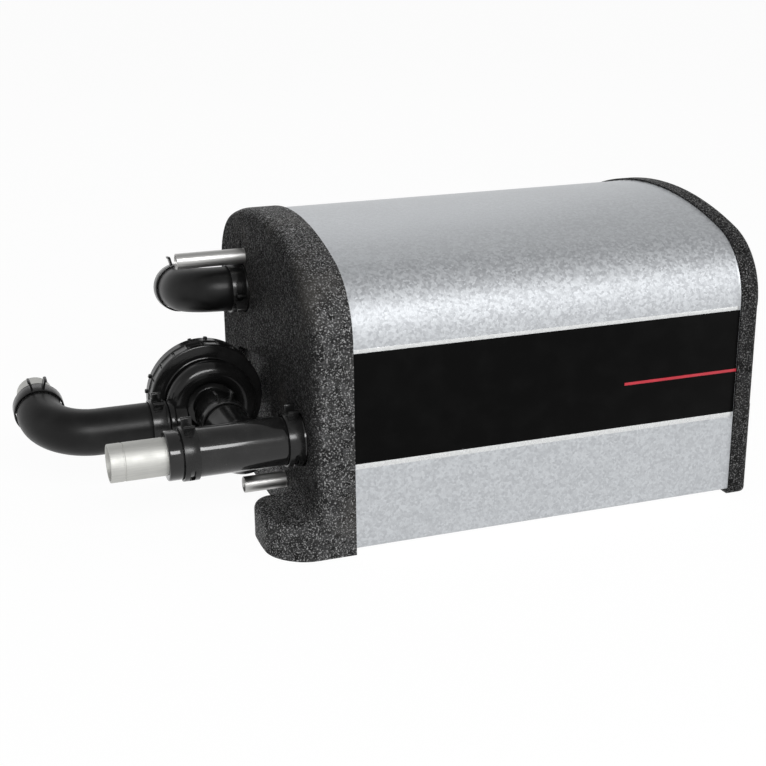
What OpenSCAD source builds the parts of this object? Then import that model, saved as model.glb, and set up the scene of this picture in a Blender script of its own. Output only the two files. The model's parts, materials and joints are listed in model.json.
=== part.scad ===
// Caravan water heater: a foam capped, sheet clad heat exchanger with a circulation pump at its front.
// The origin is the centre of the front cap's base. X runs back along the casing, Z is up.

/* [Casing] */
// Visible length of the sheet between the two caps
casing_l = 250; // [200:1:320]
// Width over the sheet's sides
casing_w = 217; // [206:1:250]
// Height of the straight sides above the sheet's lower edge
side_h = 123; // [112:1:150]
// Radius of the shoulders
shoulder_r = 43; // [34:1:52]
// Rise of the shallow dome above the shoulders
dome_rise = 11; // [6:1:20]
// Thickness of the galvanised sheet
sheet_t = 0.8; // [0.6:0.1:1.2]
// Width of the lapped seam under the casing
seam_lap = 22; // [14:1:40]
// Shank diameter of the seam rivets
rivet_d = 3.2; // [2.4:0.4:4.8]
// Number of seam rivets
rivets = 5; // [3:1:9]

/* [Foam caps] */
// Depth of the front cap's visible rim
front_cap_t = 24; // [20:1:40]
// Depth of the rear cap's visible rim
rear_cap_t = 14; // [10:1:30]
// Height of the rims above the sheet
cap_proud = 1.5; // [0.5:0.1:3]
// Height of the sheet's lower edge above the caps' base
base_drop = 3; // [2.5:0.5:6]
// Rounding of the front cap's outer edge
front_edge_r = 8; // [4:1:12]
// Rounding of the rear cap's outer edge
rear_edge_r = 6; // [3:1:8]
// Foam between the sheet and the vessel
foam_t = 13; // [9:1:14]
// Foam in front of the vessel
front_wall_t = 30; // [20:1:45]
// Foam behind the vessel
rear_wall_t = 22; // [12:1:40]
// Reach of the foot in front of the front cap
foot_l = 23; // [10:1:30]
// Width of the foot along the front cap
foot_w = 58; // [40:1:90]
// Height of the foot
foot_h = 22; // [12:1:30]
// Plan rounding of the foot's outer corner
foot_corner_r = 21; // [6:1:22]
// Rounding of the foot's top edge
foot_edge_r = 5; // [1:0.5:8]
// Fillet between the foot and the front face
foot_fillet_r = 8; // [2:1:14]
// Depth of the recessed band across the rear face
band_depth = 2.2; // [0.5:0.1:5]
// Lower edge of the band above the base
band_low = 59; // [30:1:80]
// Upper edge of the band above the base
band_high = 124; // [95:1:140]

/* [Side label] */
// Lower edge of the label above the sheet's lower edge
label_low = 53; // [20:1:70]
// Height of the label
label_h = 66; // [30:1:68]
// Thickness of the label film
label_t = 0.3; // [0.2:0.05:0.5]
// Length of the stripe, from the label's rear end
stripe_l = 78; // [20:1:160]
// Height of the stripe's centre above the label's lower edge
stripe_up = 27.5; // [5:0.5:28]
// Width of the stripe
stripe_w = 1.8; // [0.8:0.1:4]
// Thickness of the stripe film
stripe_t = 0.15; // [0.1:0.05:0.3]

/* [Heating circuit] */
// Outside diameter of the heating pipes
pipe_d = 22; // [18:1:24]
// Wall of the heating pipes
pipe_wall = 1.2; // [0.8:0.1:2]
// Wall of the moulded hoses
hose_wall = 3.2; // [2.5:0.1:4]
// Distance of the return pipe from the near side of the casing
return_side = 28; // [26:1:40]
// Height of the return pipe and the pump above the base
return_up = 65.5; // [56:0.5:76]
// Depth to which a pipe is pushed into a hose
hose_grip = 26; // [20:1:30]
// Length of the hose tee along the return pipe
tee_l = 82; // [78:1:110]
// Free length of the return pipe
return_out = 32; // [15:1:60]
// Distance of the flow pipe from the far side of the casing
flow_side = 64.5; // [50:0.5:80]
// Drop of the flow pipe below the hot water tube
flow_below_hot = 22; // [22:0.5:32]
// Straight length of the flow hose at the cap
flow_straight = 14; // [13:1:40]
// Bend radius of the flow hose
flow_bend_r = 24; // [22:1:50]
// Length of the flow hose after its bend
flow_leg = 22; // [18:1:60]
// Turn of the flow hose about its own spigot
flow_roll = -9; // [-40:1:0]
// Free length of the flow pipe
flow_out = 20; // [10:1:60]
// Straight length of the pump outlet hose
outlet_straight = 42.5; // [32:0.5:80]
// Bend radius of the pump outlet hose
outlet_bend_r = 31; // [24:1:50]
// Length of the pump outlet hose after its bend
outlet_leg = 16; // [14:1:60]
// Turn of the outlet hose about the pump's spigot
outlet_roll = 9; // [0:1:40]
// Free length of the pump outlet pipe
outlet_out = 15; // [10:1:60]
// Width of a hose clamp's band
clamp_w = 9; // [7:0.5:10]
// Thickness of a hose clamp's band
clamp_t = 1.2; // [0.8:0.1:1.6]
// Reach of a hose clamp's ears
ear_l = 7; // [4:0.5:9]

/* [Water circuit] */
// Outside diameter of the water tubes
tube_d = 10; // [8:0.5:11]
// Wall of the water tubes
tube_wall = 0.8; // [0.6:0.1:1.2]
// Distance of the cold tube from the near side of the casing
cold_side = 64.5; // [50:0.5:80]
// Height of the cold tube above the base
cold_up = 26; // [24:0.5:34]
// Free length of the cold tube
cold_out = 26; // [12:1:60]
// Distance of the hot tube from the far side of the casing
hot_side = 70.5; // [60:0.5:85]
// Drop of the hot tube below the top of the casing
hot_below_top = 32; // [26:0.5:44]
// Free length of the hot tube
hot_out = 44; // [12:1:80]
// Even number of passes of the water coil
passes = 6; // [4:2:6]
// Sheet thickness of the vessel's shell
shell_t = 1.2; // [0.8:0.1:2]
// Thickness of the vessel's end plates
plate_t = 1.5; // [1:0.1:3]
// Diameter of the temperature sensor
sensor_d = 5; // [4:0.5:6]
// Depth of the sensor's tip inside the vessel
sensor_l = 18; // [8:1:24]

/* [Pump] */
// Distance of the pump's axis in front of the front face
pump_out = 32.5; // [30:0.5:39]
// Distance of the pump's axis below the return pipe
pump_down = 4; // [0:0.5:8]
// Distance of the pump's ring from the return pipe
ring_gap = 100.5; // [88:0.5:112]
// Outside diameter of the pump's lock ring
ring_d = 72; // [70:1:82]
// Axial width of the lock ring
ring_w = 16; // [13.5:0.5:20]
// Number of windows around the lock ring
ring_windows = 22; // [6:1:24]
// Diameter of the volute body
volute_d = 52; // [50:1:54]
// Height of the volute body in front of the ring
volute_h = 13; // [12:0.5:18]
// Mean radius of the volute's round channel
channel_r = 22; // [19:0.5:23]
// Outside radius of the channel's section
channel_t = 7; // [6:0.5:8]
// Diameter of the impeller
impeller_d = 36; // [28:1:40]
// Number of impeller blades
blades = 6; // [4:1:8]
// Diameter of the rotor's magnet
magnet_d = 18; // [16:1:20]
// Length of the rotor's magnet
magnet_l = 26; // [13:1:27]
// Diameter of the rotor's fixed shaft
shaft_d = 5; // [4:0.5:6]
// Diameter of the motor housing
motor_d = 44; // [43:1:48]
// Wall of the motor housing
motor_wall = 2.6; // [1.5:0.1:2.8]
// Length of the motor housing behind the ring's front
motor_l = 43; // [43:1:60]
// Number of stator teeth
teeth = 6; // [3:3:9]

/* [Clearances] */
// Gap between a piece and the fixed piece that it fits
fit = 0.15; // [0.1:0.05:0.25]
// Gap between the foam and what it holds
seat = 0.3; // [0.2:0.05:0.5]
// Radial running clearance of the rotor on its shaft
running = 0.05; // [0.02:0.01:0.1]
// Gap between the rotor and the pieces around it
rotor_gap = 0.8; // [0.5:0.1:1]

/* [Hidden] */
$fn = 64;

// Colours
foam_black = [0.13, 0.13, 0.13];
zinc = [0.72, 0.74, 0.75];
film_black = [0.04, 0.04, 0.04];
stripe_red = [0.78, 0.10, 0.14];
steel = [0.70, 0.70, 0.70];
alloy = [0.80, 0.80, 0.79];
rubber = [0.07, 0.07, 0.07];
clamp_black = [0.10, 0.10, 0.10];
pump_black = [0.08, 0.08, 0.08];
ferrite = [0.20, 0.20, 0.22];
copper = [0.72, 0.43, 0.24];
board_green = [0.10, 0.32, 0.18];
ceramic = [0.90, 0.90, 0.86];
carbon = [0.16, 0.16, 0.17];
brass = [0.75, 0.60, 0.28];

// Overlap that joins the solids of one piece, and the reach of a cut past its face
join = 0.5;
cut = 1;
// Steps of the round stretches of the casing's outline
shoulder_steps = 12;
dome_steps = 18;
corner_steps = 4;
edge_steps = 4;

// Casing outline
shoulder_y = casing_w / 2 - shoulder_r;
shoulder_z = base_drop + side_h;
dome_r = (pow(shoulder_y, 2) + pow(shoulder_r + dome_rise, 2) - pow(shoulder_r, 2)) / (2 * dome_rise);
dome_a = asin(shoulder_y / (dome_r - shoulder_r));
top_z = shoulder_z + shoulder_r + dome_rise;
dome_z = top_z - dome_r;
plug_inset = sheet_t + seat;
vessel_inset = plug_inset + foam_t;
vessel_corner_r = 12;
plug_corner_r = 2;
cap_corner_r = 3;

// Stations along X
face_x = -front_cap_t / 2;
rim_x = front_cap_t / 2;
back_x = rim_x + casing_l;
rear_face_x = back_x + rear_cap_t;
split_x = (rim_x + back_x) / 2;
vessel_x0 = face_x + front_wall_t;
vessel_x1 = rear_face_x - rear_wall_t;

// Pipes and tubes
pipe_r = pipe_d / 2;
socket_r = pipe_r + fit;
hose_r = socket_r + hose_wall;
branch_r = hose_r - 0.5;
waterway_r = pipe_r - 1.5;
branch_waterway_r = waterway_r - 0.5;
mouth_in = 3;
mouth_depth = 5;
mouth_gap = 2.2;
hose_x = face_x + mouth_in;
return_y = -casing_w / 2 + return_side;
return_z = return_up;
hot_y = casing_w / 2 - hot_side;
hot_z = top_z - hot_below_top;
cold_y = -casing_w / 2 + cold_side;
cold_z = cold_up;
flow_y = casing_w / 2 - flow_side;
flow_z = hot_z - flow_below_hot;
flow_grip = flow_straight - 1;
tube_r = tube_d / 2;
// Fine turned ring that marks how far a pipe goes in
mark_w = 1;
mark_depth = 0.3;
mark_off = 0.2;
// The sensor sits beside the hot tube
sensor_y = hot_y + 7;
sensor_z = hot_z + 6;

// Water coil
rises = passes / 2;
coil_bend_r = max((hot_y - cold_y) / (rises - 1), (hot_z - cold_z) / rises) / 2;
coil_reach = ceil(coil_bend_r + tube_r + 1);
coil_start_x = vessel_x0 + plate_t + 10;
coil_front_x = vessel_x0 + plate_t + coil_reach;
coil_rear_x = vessel_x1 - plate_t - coil_reach;
support_margin = 12;

// Clamps
clamp_back = 8.5;
inlet_clamp_back = 23;
outlet_clamp_back = 6.5;
return_pipe_turn = 12;
return_spigot_turn = 8;
flow_spigot_turn = 105;
pump_outlet_turn = 20;
slot_start = 21;
ear_t = 1.2;
ear_w = 6;
ear_angle = 13;
ear_tip = 2.4;
slot_w = 3;
slot_angle = 44;
clamp_out_r = hose_r + fit + clamp_t;

// Pump, along its own axis s from the ring's front towards the return pipe
pump_x = face_x - pump_out;
pump_y = return_y + ring_gap;
pump_z = return_z - pump_down;
ring_r = ring_d / 2;
ring_lip_t = 2;
ring_wall = 4;
flange_r = ring_r - ring_wall - 0.4;
flange_t = 3;
housing_flange_t = 5;
can_s = -flange_t - 0.1;
housing_s = can_s - flange_t - 0.1;
tab_s = housing_s - housing_flange_t - seat;
volute_r = volute_d / 2;
chamber_top = volute_h - 5;
channel_bore = channel_t - 2.5;
outlet_s = ring_lip_t + clamp_out_r + 2 * seat;
outlet_drop = 6.5;
outlet_y = pump_y - outlet_s;
outlet_z = pump_z - outlet_drop;
collar_r = hose_r - 0.4;
collar_end = channel_r + channel_t + 0.2;
collar_l = 4.2;
outlet_x = pump_x - collar_end - seat;
branch_end_s = volute_h + channel_t + 6.5;
inlet_grip = 32;
inlet_tip_s = branch_end_s + inlet_grip;
impeller_r = impeller_d / 2;
magnet_r = magnet_d / 2;
shaft_r = shaft_d / 2;
bush_r = shaft_r + 2.1;
can_r = magnet_r + rotor_gap;
can_wall = 1.2;
can_bottom = -magnet_l - 6;
stator_r0 = can_r + can_wall + fit;
motor_r = motor_d / 2;
stator_r1 = motor_r - motor_wall - fit;
tooth_w = 4;
tooth_l = 5.5;
yoke_r = stator_r0 + tooth_l;
stator_l = magnet_l - 11;
stator_s = -12;
coil_w = 1.4;
coil_end = 2.6;
board_t = 1.6;
board_s = -motor_l + 8;
cover_t = 3.8;
grommet_r = 4;
pocket_near = 36.5;
pocket_far = 30;
pocket_up = 33;
pocket_fall = 14;
pocket_down = 30.5;
pocket_rise = 16.5;
pocket_gap = 1.6;
pocket_min = 3;
pocket_corner = 8;
spider_s = chamber_top + 0.6;
spider_t = 4.4;
rib_w = 2;
rib_inset = 0.6;

// Points of an arc, without its first point where skip is 1
function arc(cx, cy, r, a0, a1, steps, skip = 0) =
    [for (i = [skip : steps]) let (a = a0 + (a1 - a0) * i / steps) [cx + r * cos(a), cy + r * sin(a)]];

// Casing outline in Y and Z, grown by d, with its flat base at low and rounded lower corners
function arch(d, low, corner) = concat(
    arc(casing_w / 2 + d - corner, low + corner, corner, -90, 0, corner_steps),
    arc(shoulder_y, shoulder_z, shoulder_r + d, 0, 90 - dome_a, shoulder_steps),
    arc(0, dome_z, dome_r + d, 90 - dome_a, 90 + dome_a, dome_steps, 1),
    arc(-shoulder_y, shoulder_z, shoulder_r + d, 90 + dome_a, 180, shoulder_steps, 1),
    arc(-casing_w / 2 - d + corner, low + corner, corner, 180, 270, corner_steps)
);

// Place of one pass of the water coil in Y and Z, to a tenth: the passes rise and step across in turn
function tenth(v) = round(10 * v) / 10;
function pass_at(i) = [
    tenth(cold_y + (hot_y - cold_y) * floor(i / 2) / (rises - 1)),
    tenth(cold_z + (hot_z - cold_z) * ceil(i / 2) / rises)
];

module along_x(x0, x1) {
    translate([x0, 0, 0])
        rotate([90, 0, 90])
            linear_extrude(x1 - x0)
                children();
}

module rod_x(r, x0, x1, y, z) {
    translate([x0, y, z])
        rotate([0, 90, 0])
            cylinder(r = r, h = x1 - x0);
}

module tube_x(r_out, r_in, x0, x1, y, z) {
    difference() {
        rod_x(r_out, x0, x1, y, z);
        rod_x(r_in, x0 - cut, x1 + cut, y, z);
    }
}

// Pump's own frame: local Z runs along s, local Y is up
module pump_frame() {
    translate([pump_x, pump_y, pump_z])
        rotate([90, 0, 0])
            children();
}

module disc(r, s0, s1) {
    translate([0, 0, s0])
        cylinder(r = r, h = s1 - s0);
}

module ring(r_out, r_in, s0, s1) {
    difference() {
        disc(r_out, s0, s1);
        disc(r_in, s0 - cut, s1 + cut);
    }
}

// Frames of the two bent hoses: the hose starts at the origin and leaves along -X
module flow_frame() {
    translate([hose_x, flow_y, flow_z])
        rotate([flow_roll, 0, 0])
            children();
}

module outlet_frame() {
    translate([outlet_x, outlet_y, outlet_z])
        rotate([outlet_roll, 0, 0])
            children();
}

// End of a bent hose, with local Z along the pipe that leaves it
module hose_end(straight, bend, leg) {
    translate([-straight - bend, bend + leg, 0])
        rotate([-90, 0, 0])
            children();
}

// Rim of a cap whose outline shrinks round the edge, from the flat side to the outer face
module rounded_edge(x_face, r, side) {
    hull()
        for (k = [0 : edge_steps])
            let (a = 90 * k / edge_steps, x = x_face - side * r * (1 - sin(a)))
                along_x(min(x, x - side * join), max(x, x - side * join))
                    polygon(arch(cap_proud - r * (1 - cos(a)), 0, cap_corner_r));
}

// Foot along the near side of the front cap
module foot() {
    near = -casing_w / 2 - cap_proud;
    far_r = foot_corner_r * 0.7;
    tip = face_x - foot_l;
    root = face_x + front_edge_r;
    fillet_z = foot_h + foot_fillet_r;
    intersection() {
        linear_extrude(fillet_z + cut)
            polygon(concat(
                arc(tip + foot_corner_r, near + foot_corner_r, foot_corner_r, 180, 270, shoulder_steps),
                [[root, near], [root, near + foot_w]],
                arc(tip + far_r, near + foot_w - far_r, far_r, 90, 180, shoulder_steps)
            ));
        translate([0, near + foot_w, 0])
            rotate([90, 0, 0])
                linear_extrude(foot_w)
                    polygon(concat(
                        [[root, 0], [root, fillet_z]],
                        arc(face_x - foot_fillet_r, fillet_z, foot_fillet_r, 0, -90, shoulder_steps),
                        arc(tip + foot_edge_r, foot_h - foot_edge_r, foot_edge_r, 90, 180, corner_steps),
                        [[tip, 0]]
                    ));
    }
}

// Hollow that the two caps leave for the vessel
module vessel_hollow() {
    along_x(vessel_x0 - seat, vessel_x1 + seat)
        polygon(arch(seat - vessel_inset, base_drop + vessel_inset - seat, vessel_corner_r));
}

// Foam that fills the sheet between two stations
module plug(x0, x1) {
    along_x(x0, x1)
        polygon(arch(-plug_inset, base_drop + plug_inset, plug_corner_r));
}

// Room above the seam for the rivets' closed ends
module rivet_channel() {
    width = 2 * rivet_d + 2;
    translate([rim_x, -width / 2, base_drop])
        cube([casing_l, width, plug_inset + rivet_d]);
}

module hose_mouth(y, z) {
    rod_x(hose_r + mouth_gap, face_x - cut, face_x + mouth_depth, y, z);
    rod_x(pipe_r + seat, face_x, vessel_x0 + cut, y, z);
}

// Shallow pocket of the front face that the pump's ring stands in: its top edge falls towards the back and its
// lower edge rises towards the front, both clear of the ring
module pump_pocket() {
    clear_r = ring_r + pocket_gap;
    depth = max(pocket_min, clear_r - pump_out);
    chord = sqrt(max(0, clear_r * clear_r - pump_out * pump_out));
    back = ring_w + pocket_far;
    back_up = max(pocket_up - pocket_fall, chord);
    ring_share = (pocket_near - seat - ring_lip_t) / (pocket_near + back);
    near_down = max(pocket_down - pocket_rise, (chord - ring_share * pocket_down) / (1 - ring_share));
    outline = [[-pocket_near, -near_down], [back, -pocket_down], [back, back_up], [-pocket_near, pocket_up]];
    pump_frame()
        translate([pump_out - cut, 0, 0])
            rotate([0, 90, 0])
                linear_extrude(depth + cut)
                    offset(r = pocket_corner)
                        offset(delta = -pocket_corner)
                            polygon(outline);
}

module front_cap() {
    color(foam_black)
        difference() {
            union() {
                along_x(face_x + front_edge_r, rim_x)
                    polygon(arch(cap_proud, 0, cap_corner_r));
                rounded_edge(face_x, front_edge_r, -1);
                plug(rim_x - join, split_x - seat / 2);
                foot();
            }
            vessel_hollow();
            rivet_channel();
            hose_mouth(return_y, return_z);
            hose_mouth(flow_y, flow_z);
            rod_x(tube_r + seat, face_x - cut, vessel_x0 + cut, cold_y, cold_z);
            rod_x(tube_r + seat, face_x - cut, vessel_x0 + cut, hot_y, hot_z);
            rod_x(sensor_d / 2 + seat, face_x - cut, vessel_x0 + cut, sensor_y, sensor_z);
            pump_pocket();
        }
}

module rear_cap() {
    color(foam_black)
        difference() {
            union() {
                along_x(back_x, rear_face_x - rear_edge_r)
                    polygon(arch(cap_proud, 0, cap_corner_r));
                rounded_edge(rear_face_x, rear_edge_r, 1);
                plug(split_x + seat / 2, back_x + join);
            }
            vessel_hollow();
            rivet_channel();
            translate([rear_face_x - band_depth, -casing_w, band_low])
                cube([band_depth + cut, 2 * casing_w, band_high - band_low]);
        }
}

module casing_sheet() {
    x0 = rim_x + fit;
    x1 = back_x - fit;
    lap_y = seam_lap / 2;
    color(zinc)
        difference() {
            union() {
                along_x(x0, x1)
                    difference() {
                        polygon(arch(0, base_drop, plug_corner_r));
                        polygon(arch(-sheet_t, base_drop + sheet_t, plug_corner_r));
                    }
                translate([x0, -lap_y, base_drop - sheet_t - fit])
                    cube([x1 - x0, seam_lap + sheet_t, sheet_t]);
                translate([x0, lap_y, base_drop - sheet_t - fit])
                    cube([x1 - x0, sheet_t, 2 * sheet_t + fit]);
            }
            translate([x0 - cut, lap_y - fit, base_drop - fit])
                cube([x1 - x0 + 2 * cut, fit, 2 * sheet_t]);
            for (i = [0 : rivets - 1])
                translate([rivet_x(i), 0, 0])
                    cylinder(d = rivet_d + 2 * fit, h = base_drop + 3 * sheet_t);
        }
}

function rivet_x(i) = rim_x + casing_l * (i + 0.5) / rivets;

module seam_rivets() {
    head_z = base_drop - sheet_t - fit;
    grip = 2 * sheet_t + fit;
    color(steel)
        for (i = [0 : rivets - 1])
            translate([rivet_x(i), 0, head_z]) {
                translate([0, 0, -0.9])
                    cylinder(d = 2 * rivet_d, h = 0.9);
                translate([0, 0, -0.9])
                    cylinder(d = rivet_d, h = grip + 0.9 + rivet_d / 2);
                translate([0, 0, grip])
                    cylinder(d = 1.5 * rivet_d, h = rivet_d / 2);
            }
}

module side_label() {
    color(film_black)
        translate([rim_x + fit, -casing_w / 2 - label_t, base_drop + label_low])
            cube([casing_l - 2 * fit, label_t, label_h]);
}

module label_stripe() {
    color(stripe_red)
        translate([back_x - fit - stripe_l, -casing_w / 2 - label_t - stripe_t,
                   base_drop + label_low + stripe_up - stripe_w / 2])
            cube([stripe_l, stripe_t, stripe_w]);
}

module vessel_shell() {
    color(steel)
        along_x(vessel_x0 + plate_t, vessel_x1 - plate_t)
            difference() {
                polygon(arch(-vessel_inset, base_drop + vessel_inset, vessel_corner_r));
                polygon(arch(-vessel_inset - shell_t, base_drop + vessel_inset + shell_t,
                             vessel_corner_r - shell_t));
            }
}

module vessel_front_plate() {
    color(steel)
        difference() {
            along_x(vessel_x0, vessel_x0 + plate_t)
                polygon(arch(-vessel_inset, base_drop + vessel_inset, vessel_corner_r));
            for (p = [[return_y, return_z, pipe_r], [flow_y, flow_z, pipe_r],
                      [cold_y, cold_z, tube_r], [hot_y, hot_z, tube_r],
                      [sensor_y, sensor_z, sensor_d / 2]])
                rod_x(p[2] + fit, vessel_x0 - cut, vessel_x0 + plate_t + cut, p[0], p[1]);
        }
}

module vessel_rear_plate() {
    color(steel)
        along_x(vessel_x1 - plate_t, vessel_x1)
            polygon(arch(-vessel_inset, base_drop + vessel_inset, vessel_corner_r));
}

// One half turn of the coil between pass i and the next
module coil_bend(i, x, side, r) {
    mid = (pass_at(i) + pass_at(i + 1)) / 2;
    step = pass_at(i + 1) - pass_at(i);
    translate([x, mid[0], mid[1]])
        rotate([step[1] > 0 ? 90 : 0, 0, 0])
            rotate([0, 0, -90 * side])
                rotate_extrude(angle = 180)
                    translate([norm(step) / 2, 0])
                        circle(r);
}

// Solid of radius r along the whole coil, its two free ends longer by over
module coil_run(r, over) {
    for (i = [0 : passes - 1])
        let (p = pass_at(i), free = i == 0 || i == passes - 1)
            rod_x(r, free ? coil_start_x - over : coil_front_x, coil_rear_x, p[0], p[1]);
    for (i = [0 : 2 : passes - 2])
        coil_bend(i, coil_rear_x, 1, r);
    for (i = [1 : 2 : passes - 3])
        coil_bend(i, coil_front_x, -1, r);
}

module water_coil() {
    color(steel)
        difference() {
            coil_run(tube_r, 0);
            coil_run(tube_r - tube_wall, cut);
        }
}

// Straight water tube from the coil out through the cap, with its ring mark at the face
module water_tube(y, z, out) {
    mark_x = face_x - mark_off - mark_w;
    difference() {
        tube_x(tube_r, tube_r - tube_wall, face_x - out, coil_start_x, y, z);
        tube_x(tube_r + cut, tube_r - mark_depth, mark_x, mark_x + mark_w, y, z);
    }
}

module cold_tube() {
    color(steel)
        water_tube(cold_y, cold_z, cold_out);
}

module hot_tube() {
    color(steel)
        water_tube(hot_y, hot_z, hot_out);
}

// Plate across the vessel that carries the coil's passes
module coil_support() {
    side = tube_r + support_margin;
    color(steel)
        difference() {
            along_x(split_x, split_x + plate_t)
                intersection() {
                    polygon(arch(-vessel_inset - shell_t - fit, base_drop + vessel_inset + shell_t + fit,
                                 vessel_corner_r - shell_t));
                    translate([cold_y - side, 0])
                        square([hot_y - cold_y + 2 * side, top_z]);
                }
            for (i = [0 : passes - 1])
                let (p = pass_at(i))
                    rod_x(tube_r + fit, split_x - cut, split_x + plate_t + cut, p[0], p[1]);
        }
}

module flow_spigot() {
    color(alloy)
        tube_x(pipe_r, pipe_r - pipe_wall, hose_x - flow_grip, vessel_x0 + plate_t, flow_y, flow_z);
}

module return_spigot() {
    color(alloy)
        tube_x(pipe_r, pipe_r - pipe_wall, hose_x - hose_grip, vessel_x0 + plate_t, return_y, return_z);
}

module temperature_sensor() {
    color(brass)
        rod_x(sensor_d / 2, vessel_x0 - 8, vessel_x0 + plate_t + sensor_l, sensor_y, sensor_z);
}

// Moulded tee: the return pipe and the vessel on one line, the pump's inlet on the branch
module return_tee_hose() {
    tee_x = hose_x - tee_l;
    run = [return_y, return_z];
    color(rubber)
        difference() {
            union() {
                rod_x(hose_r, tee_x, hose_x, run[0], run[1]);
                pump_frame()
                    disc(branch_r, branch_end_s, ring_gap);
            }
            rod_x(waterway_r, tee_x - cut, hose_x + cut, run[0], run[1]);
            rod_x(socket_r, tee_x - cut, tee_x + hose_grip, run[0], run[1]);
            rod_x(socket_r, hose_x - hose_grip, hose_x + cut, run[0], run[1]);
            pump_frame()
                disc(branch_waterway_r, branch_end_s - cut, ring_gap);
            pump_frame()
                disc(socket_r, branch_end_s - cut, inlet_tip_s + fit);
        }
}

// Hose with one right angle bend, from its mouth at the origin to its leg along Y
module bent_hose(straight, bend, leg) {
    tube_x(hose_r, socket_r, -straight, 0, 0, 0);
    translate([-straight, bend, 0])
        rotate([0, 0, 180])
            rotate_extrude(angle = 90)
                translate([bend, 0])
                    difference() {
                        circle(hose_r);
                        circle(socket_r);
                    }
    hose_end(straight, bend, 0)
        ring(hose_r, socket_r, 0, leg);
}

// Pipe that leaves a hose along local Z, with its ring mark at the hose's mouth
module free_pipe(grip, out) {
    difference() {
        ring(pipe_r, pipe_r - pipe_wall, -grip, out);
        ring(pipe_r + cut, pipe_r - mark_depth, mark_off, mark_off + mark_w);
    }
}

module return_pipe() {
    color(alloy)
        translate([hose_x - tee_l, return_y, return_z])
            rotate([0, -90, 0])
                free_pipe(hose_grip, return_out);
}

module flow_hose() {
    color(rubber)
        flow_frame()
            bent_hose(flow_straight, flow_bend_r, flow_leg);
}

module flow_pipe() {
    color(alloy)
        flow_frame()
            hose_end(flow_straight, flow_bend_r, flow_leg)
                free_pipe(flow_leg - 1, flow_out);
}

module outlet_hose() {
    color(rubber)
        outlet_frame()
            bent_hose(outlet_straight, outlet_bend_r, outlet_leg);
}

module outlet_pipe() {
    color(alloy)
        outlet_frame()
            hose_end(outlet_straight, outlet_bend_r, outlet_leg)
                free_pipe(outlet_leg - 1, outlet_out);
}

// Sprung band clamp round local Z, with two ears on local Y and a slot beside them
module band_clamp(r) {
    r_in = r + fit;
    r_out = r_in + clamp_t;
    color(clamp_black) {
        difference() {
            ring(r_out, r_in, -clamp_w / 2, clamp_w / 2);
            for (a = [slot_start : 4 : slot_start + slot_angle])
                rotate([0, 0, a])
                    translate([-1, r_in - cut, -slot_w / 2])
                        cube([2, clamp_t + 2 * cut, slot_w]);
        }
        for (side = [-1, 1])
            rotate([0, 0, side * ear_angle])
                translate([-ear_t / 2, r_in + clamp_t / 2, -ear_w / 2]) {
                    cube([ear_t, ear_l, ear_w]);
                    translate([side < 0 ? 0 : ear_t - ear_tip, ear_l - ear_t, 0])
                        cube([ear_tip, ear_t, ear_w]);
                }
    }
}

// Clamp round a hose along X, its ears turned from straight up by turn
module clamp_x(x, y, z, turn, r) {
    translate([x, y, z])
        rotate([turn, 0, 0])
            rotate([90, 0, 90])
                band_clamp(r);
}

module return_pipe_clamp() {
    clamp_x(hose_x - tee_l + clamp_back + clamp_w / 2, return_y, return_z, return_pipe_turn, hose_r);
}

module return_spigot_clamp() {
    clamp_x(hose_x - clamp_back, return_y, return_z, return_spigot_turn, hose_r);
}

module flow_spigot_clamp() {
    clamp_x(hose_x - clamp_back, flow_y, flow_z, flow_spigot_turn, hose_r);
}

module flow_pipe_clamp() {
    flow_frame()
        hose_end(flow_straight, flow_bend_r, flow_leg - clamp_back)
            rotate([0, 0, 180])
                band_clamp(hose_r);
}

module pump_inlet_clamp() {
    pump_frame()
        translate([0, 0, branch_end_s + inlet_clamp_back])
            band_clamp(branch_r);
}

module pump_outlet_clamp() {
    clamp_x(outlet_x - outlet_clamp_back, outlet_y, outlet_z, pump_outlet_turn, hose_r);
}

module outlet_pipe_clamp() {
    outlet_frame()
        hose_end(outlet_straight, outlet_bend_r, outlet_leg - clamp_back)
            rotate([0, 0, 180])
                band_clamp(hose_r);
}

// Outlet of the pump in the pump's frame, with local Z along the spigot
module outlet_axis() {
    translate([0, -outlet_drop, outlet_s])
        rotate([0, -90, 0])
            children();
}

// Front half of the pump with its round channel, inlet and outlet
module pump_volute() {
    color(pump_black)
        pump_frame() {
            difference() {
                union() {
                    disc(flange_r, -flange_t, 0);
                    disc(volute_r, -join, volute_h);
                    rotate_extrude()
                        translate([channel_r, volute_h - 0.5])
                            circle(channel_t);
                    disc(pipe_r, volute_h - join, inlet_tip_s);
                    outlet_axis() {
                        disc(collar_r, collar_end - collar_l, collar_end);
                        disc(pipe_r, channel_r - 4, collar_end + hose_grip);
                    }
                }
                disc(impeller_r + 3.5, -flange_t - cut, chamber_top);
                rotate_extrude()
                    translate([channel_r, volute_h - 3])
                        circle(channel_bore);
                disc(pipe_r - 2.2, 0, inlet_tip_s + cut);
                outlet_axis()
                    disc(pipe_r - 2.6, channel_r - 2, collar_end + hose_grip + cut);
            }
            difference() {
                union() {
                    disc(shaft_r + 2, spider_s, spider_s + spider_t);
                    for (i = [0 : 2])
                        rotate([0, 0, 120 * i + 30])
                            translate([0, -rib_w / 2, spider_s + rib_inset])
                                cube([pipe_r - 1.2, rib_w, spider_t - 2 * rib_inset]);
                }
                disc(shaft_r + fit, spider_s - cut, spider_s + spider_t - 1);
            }
        }
}

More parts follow.
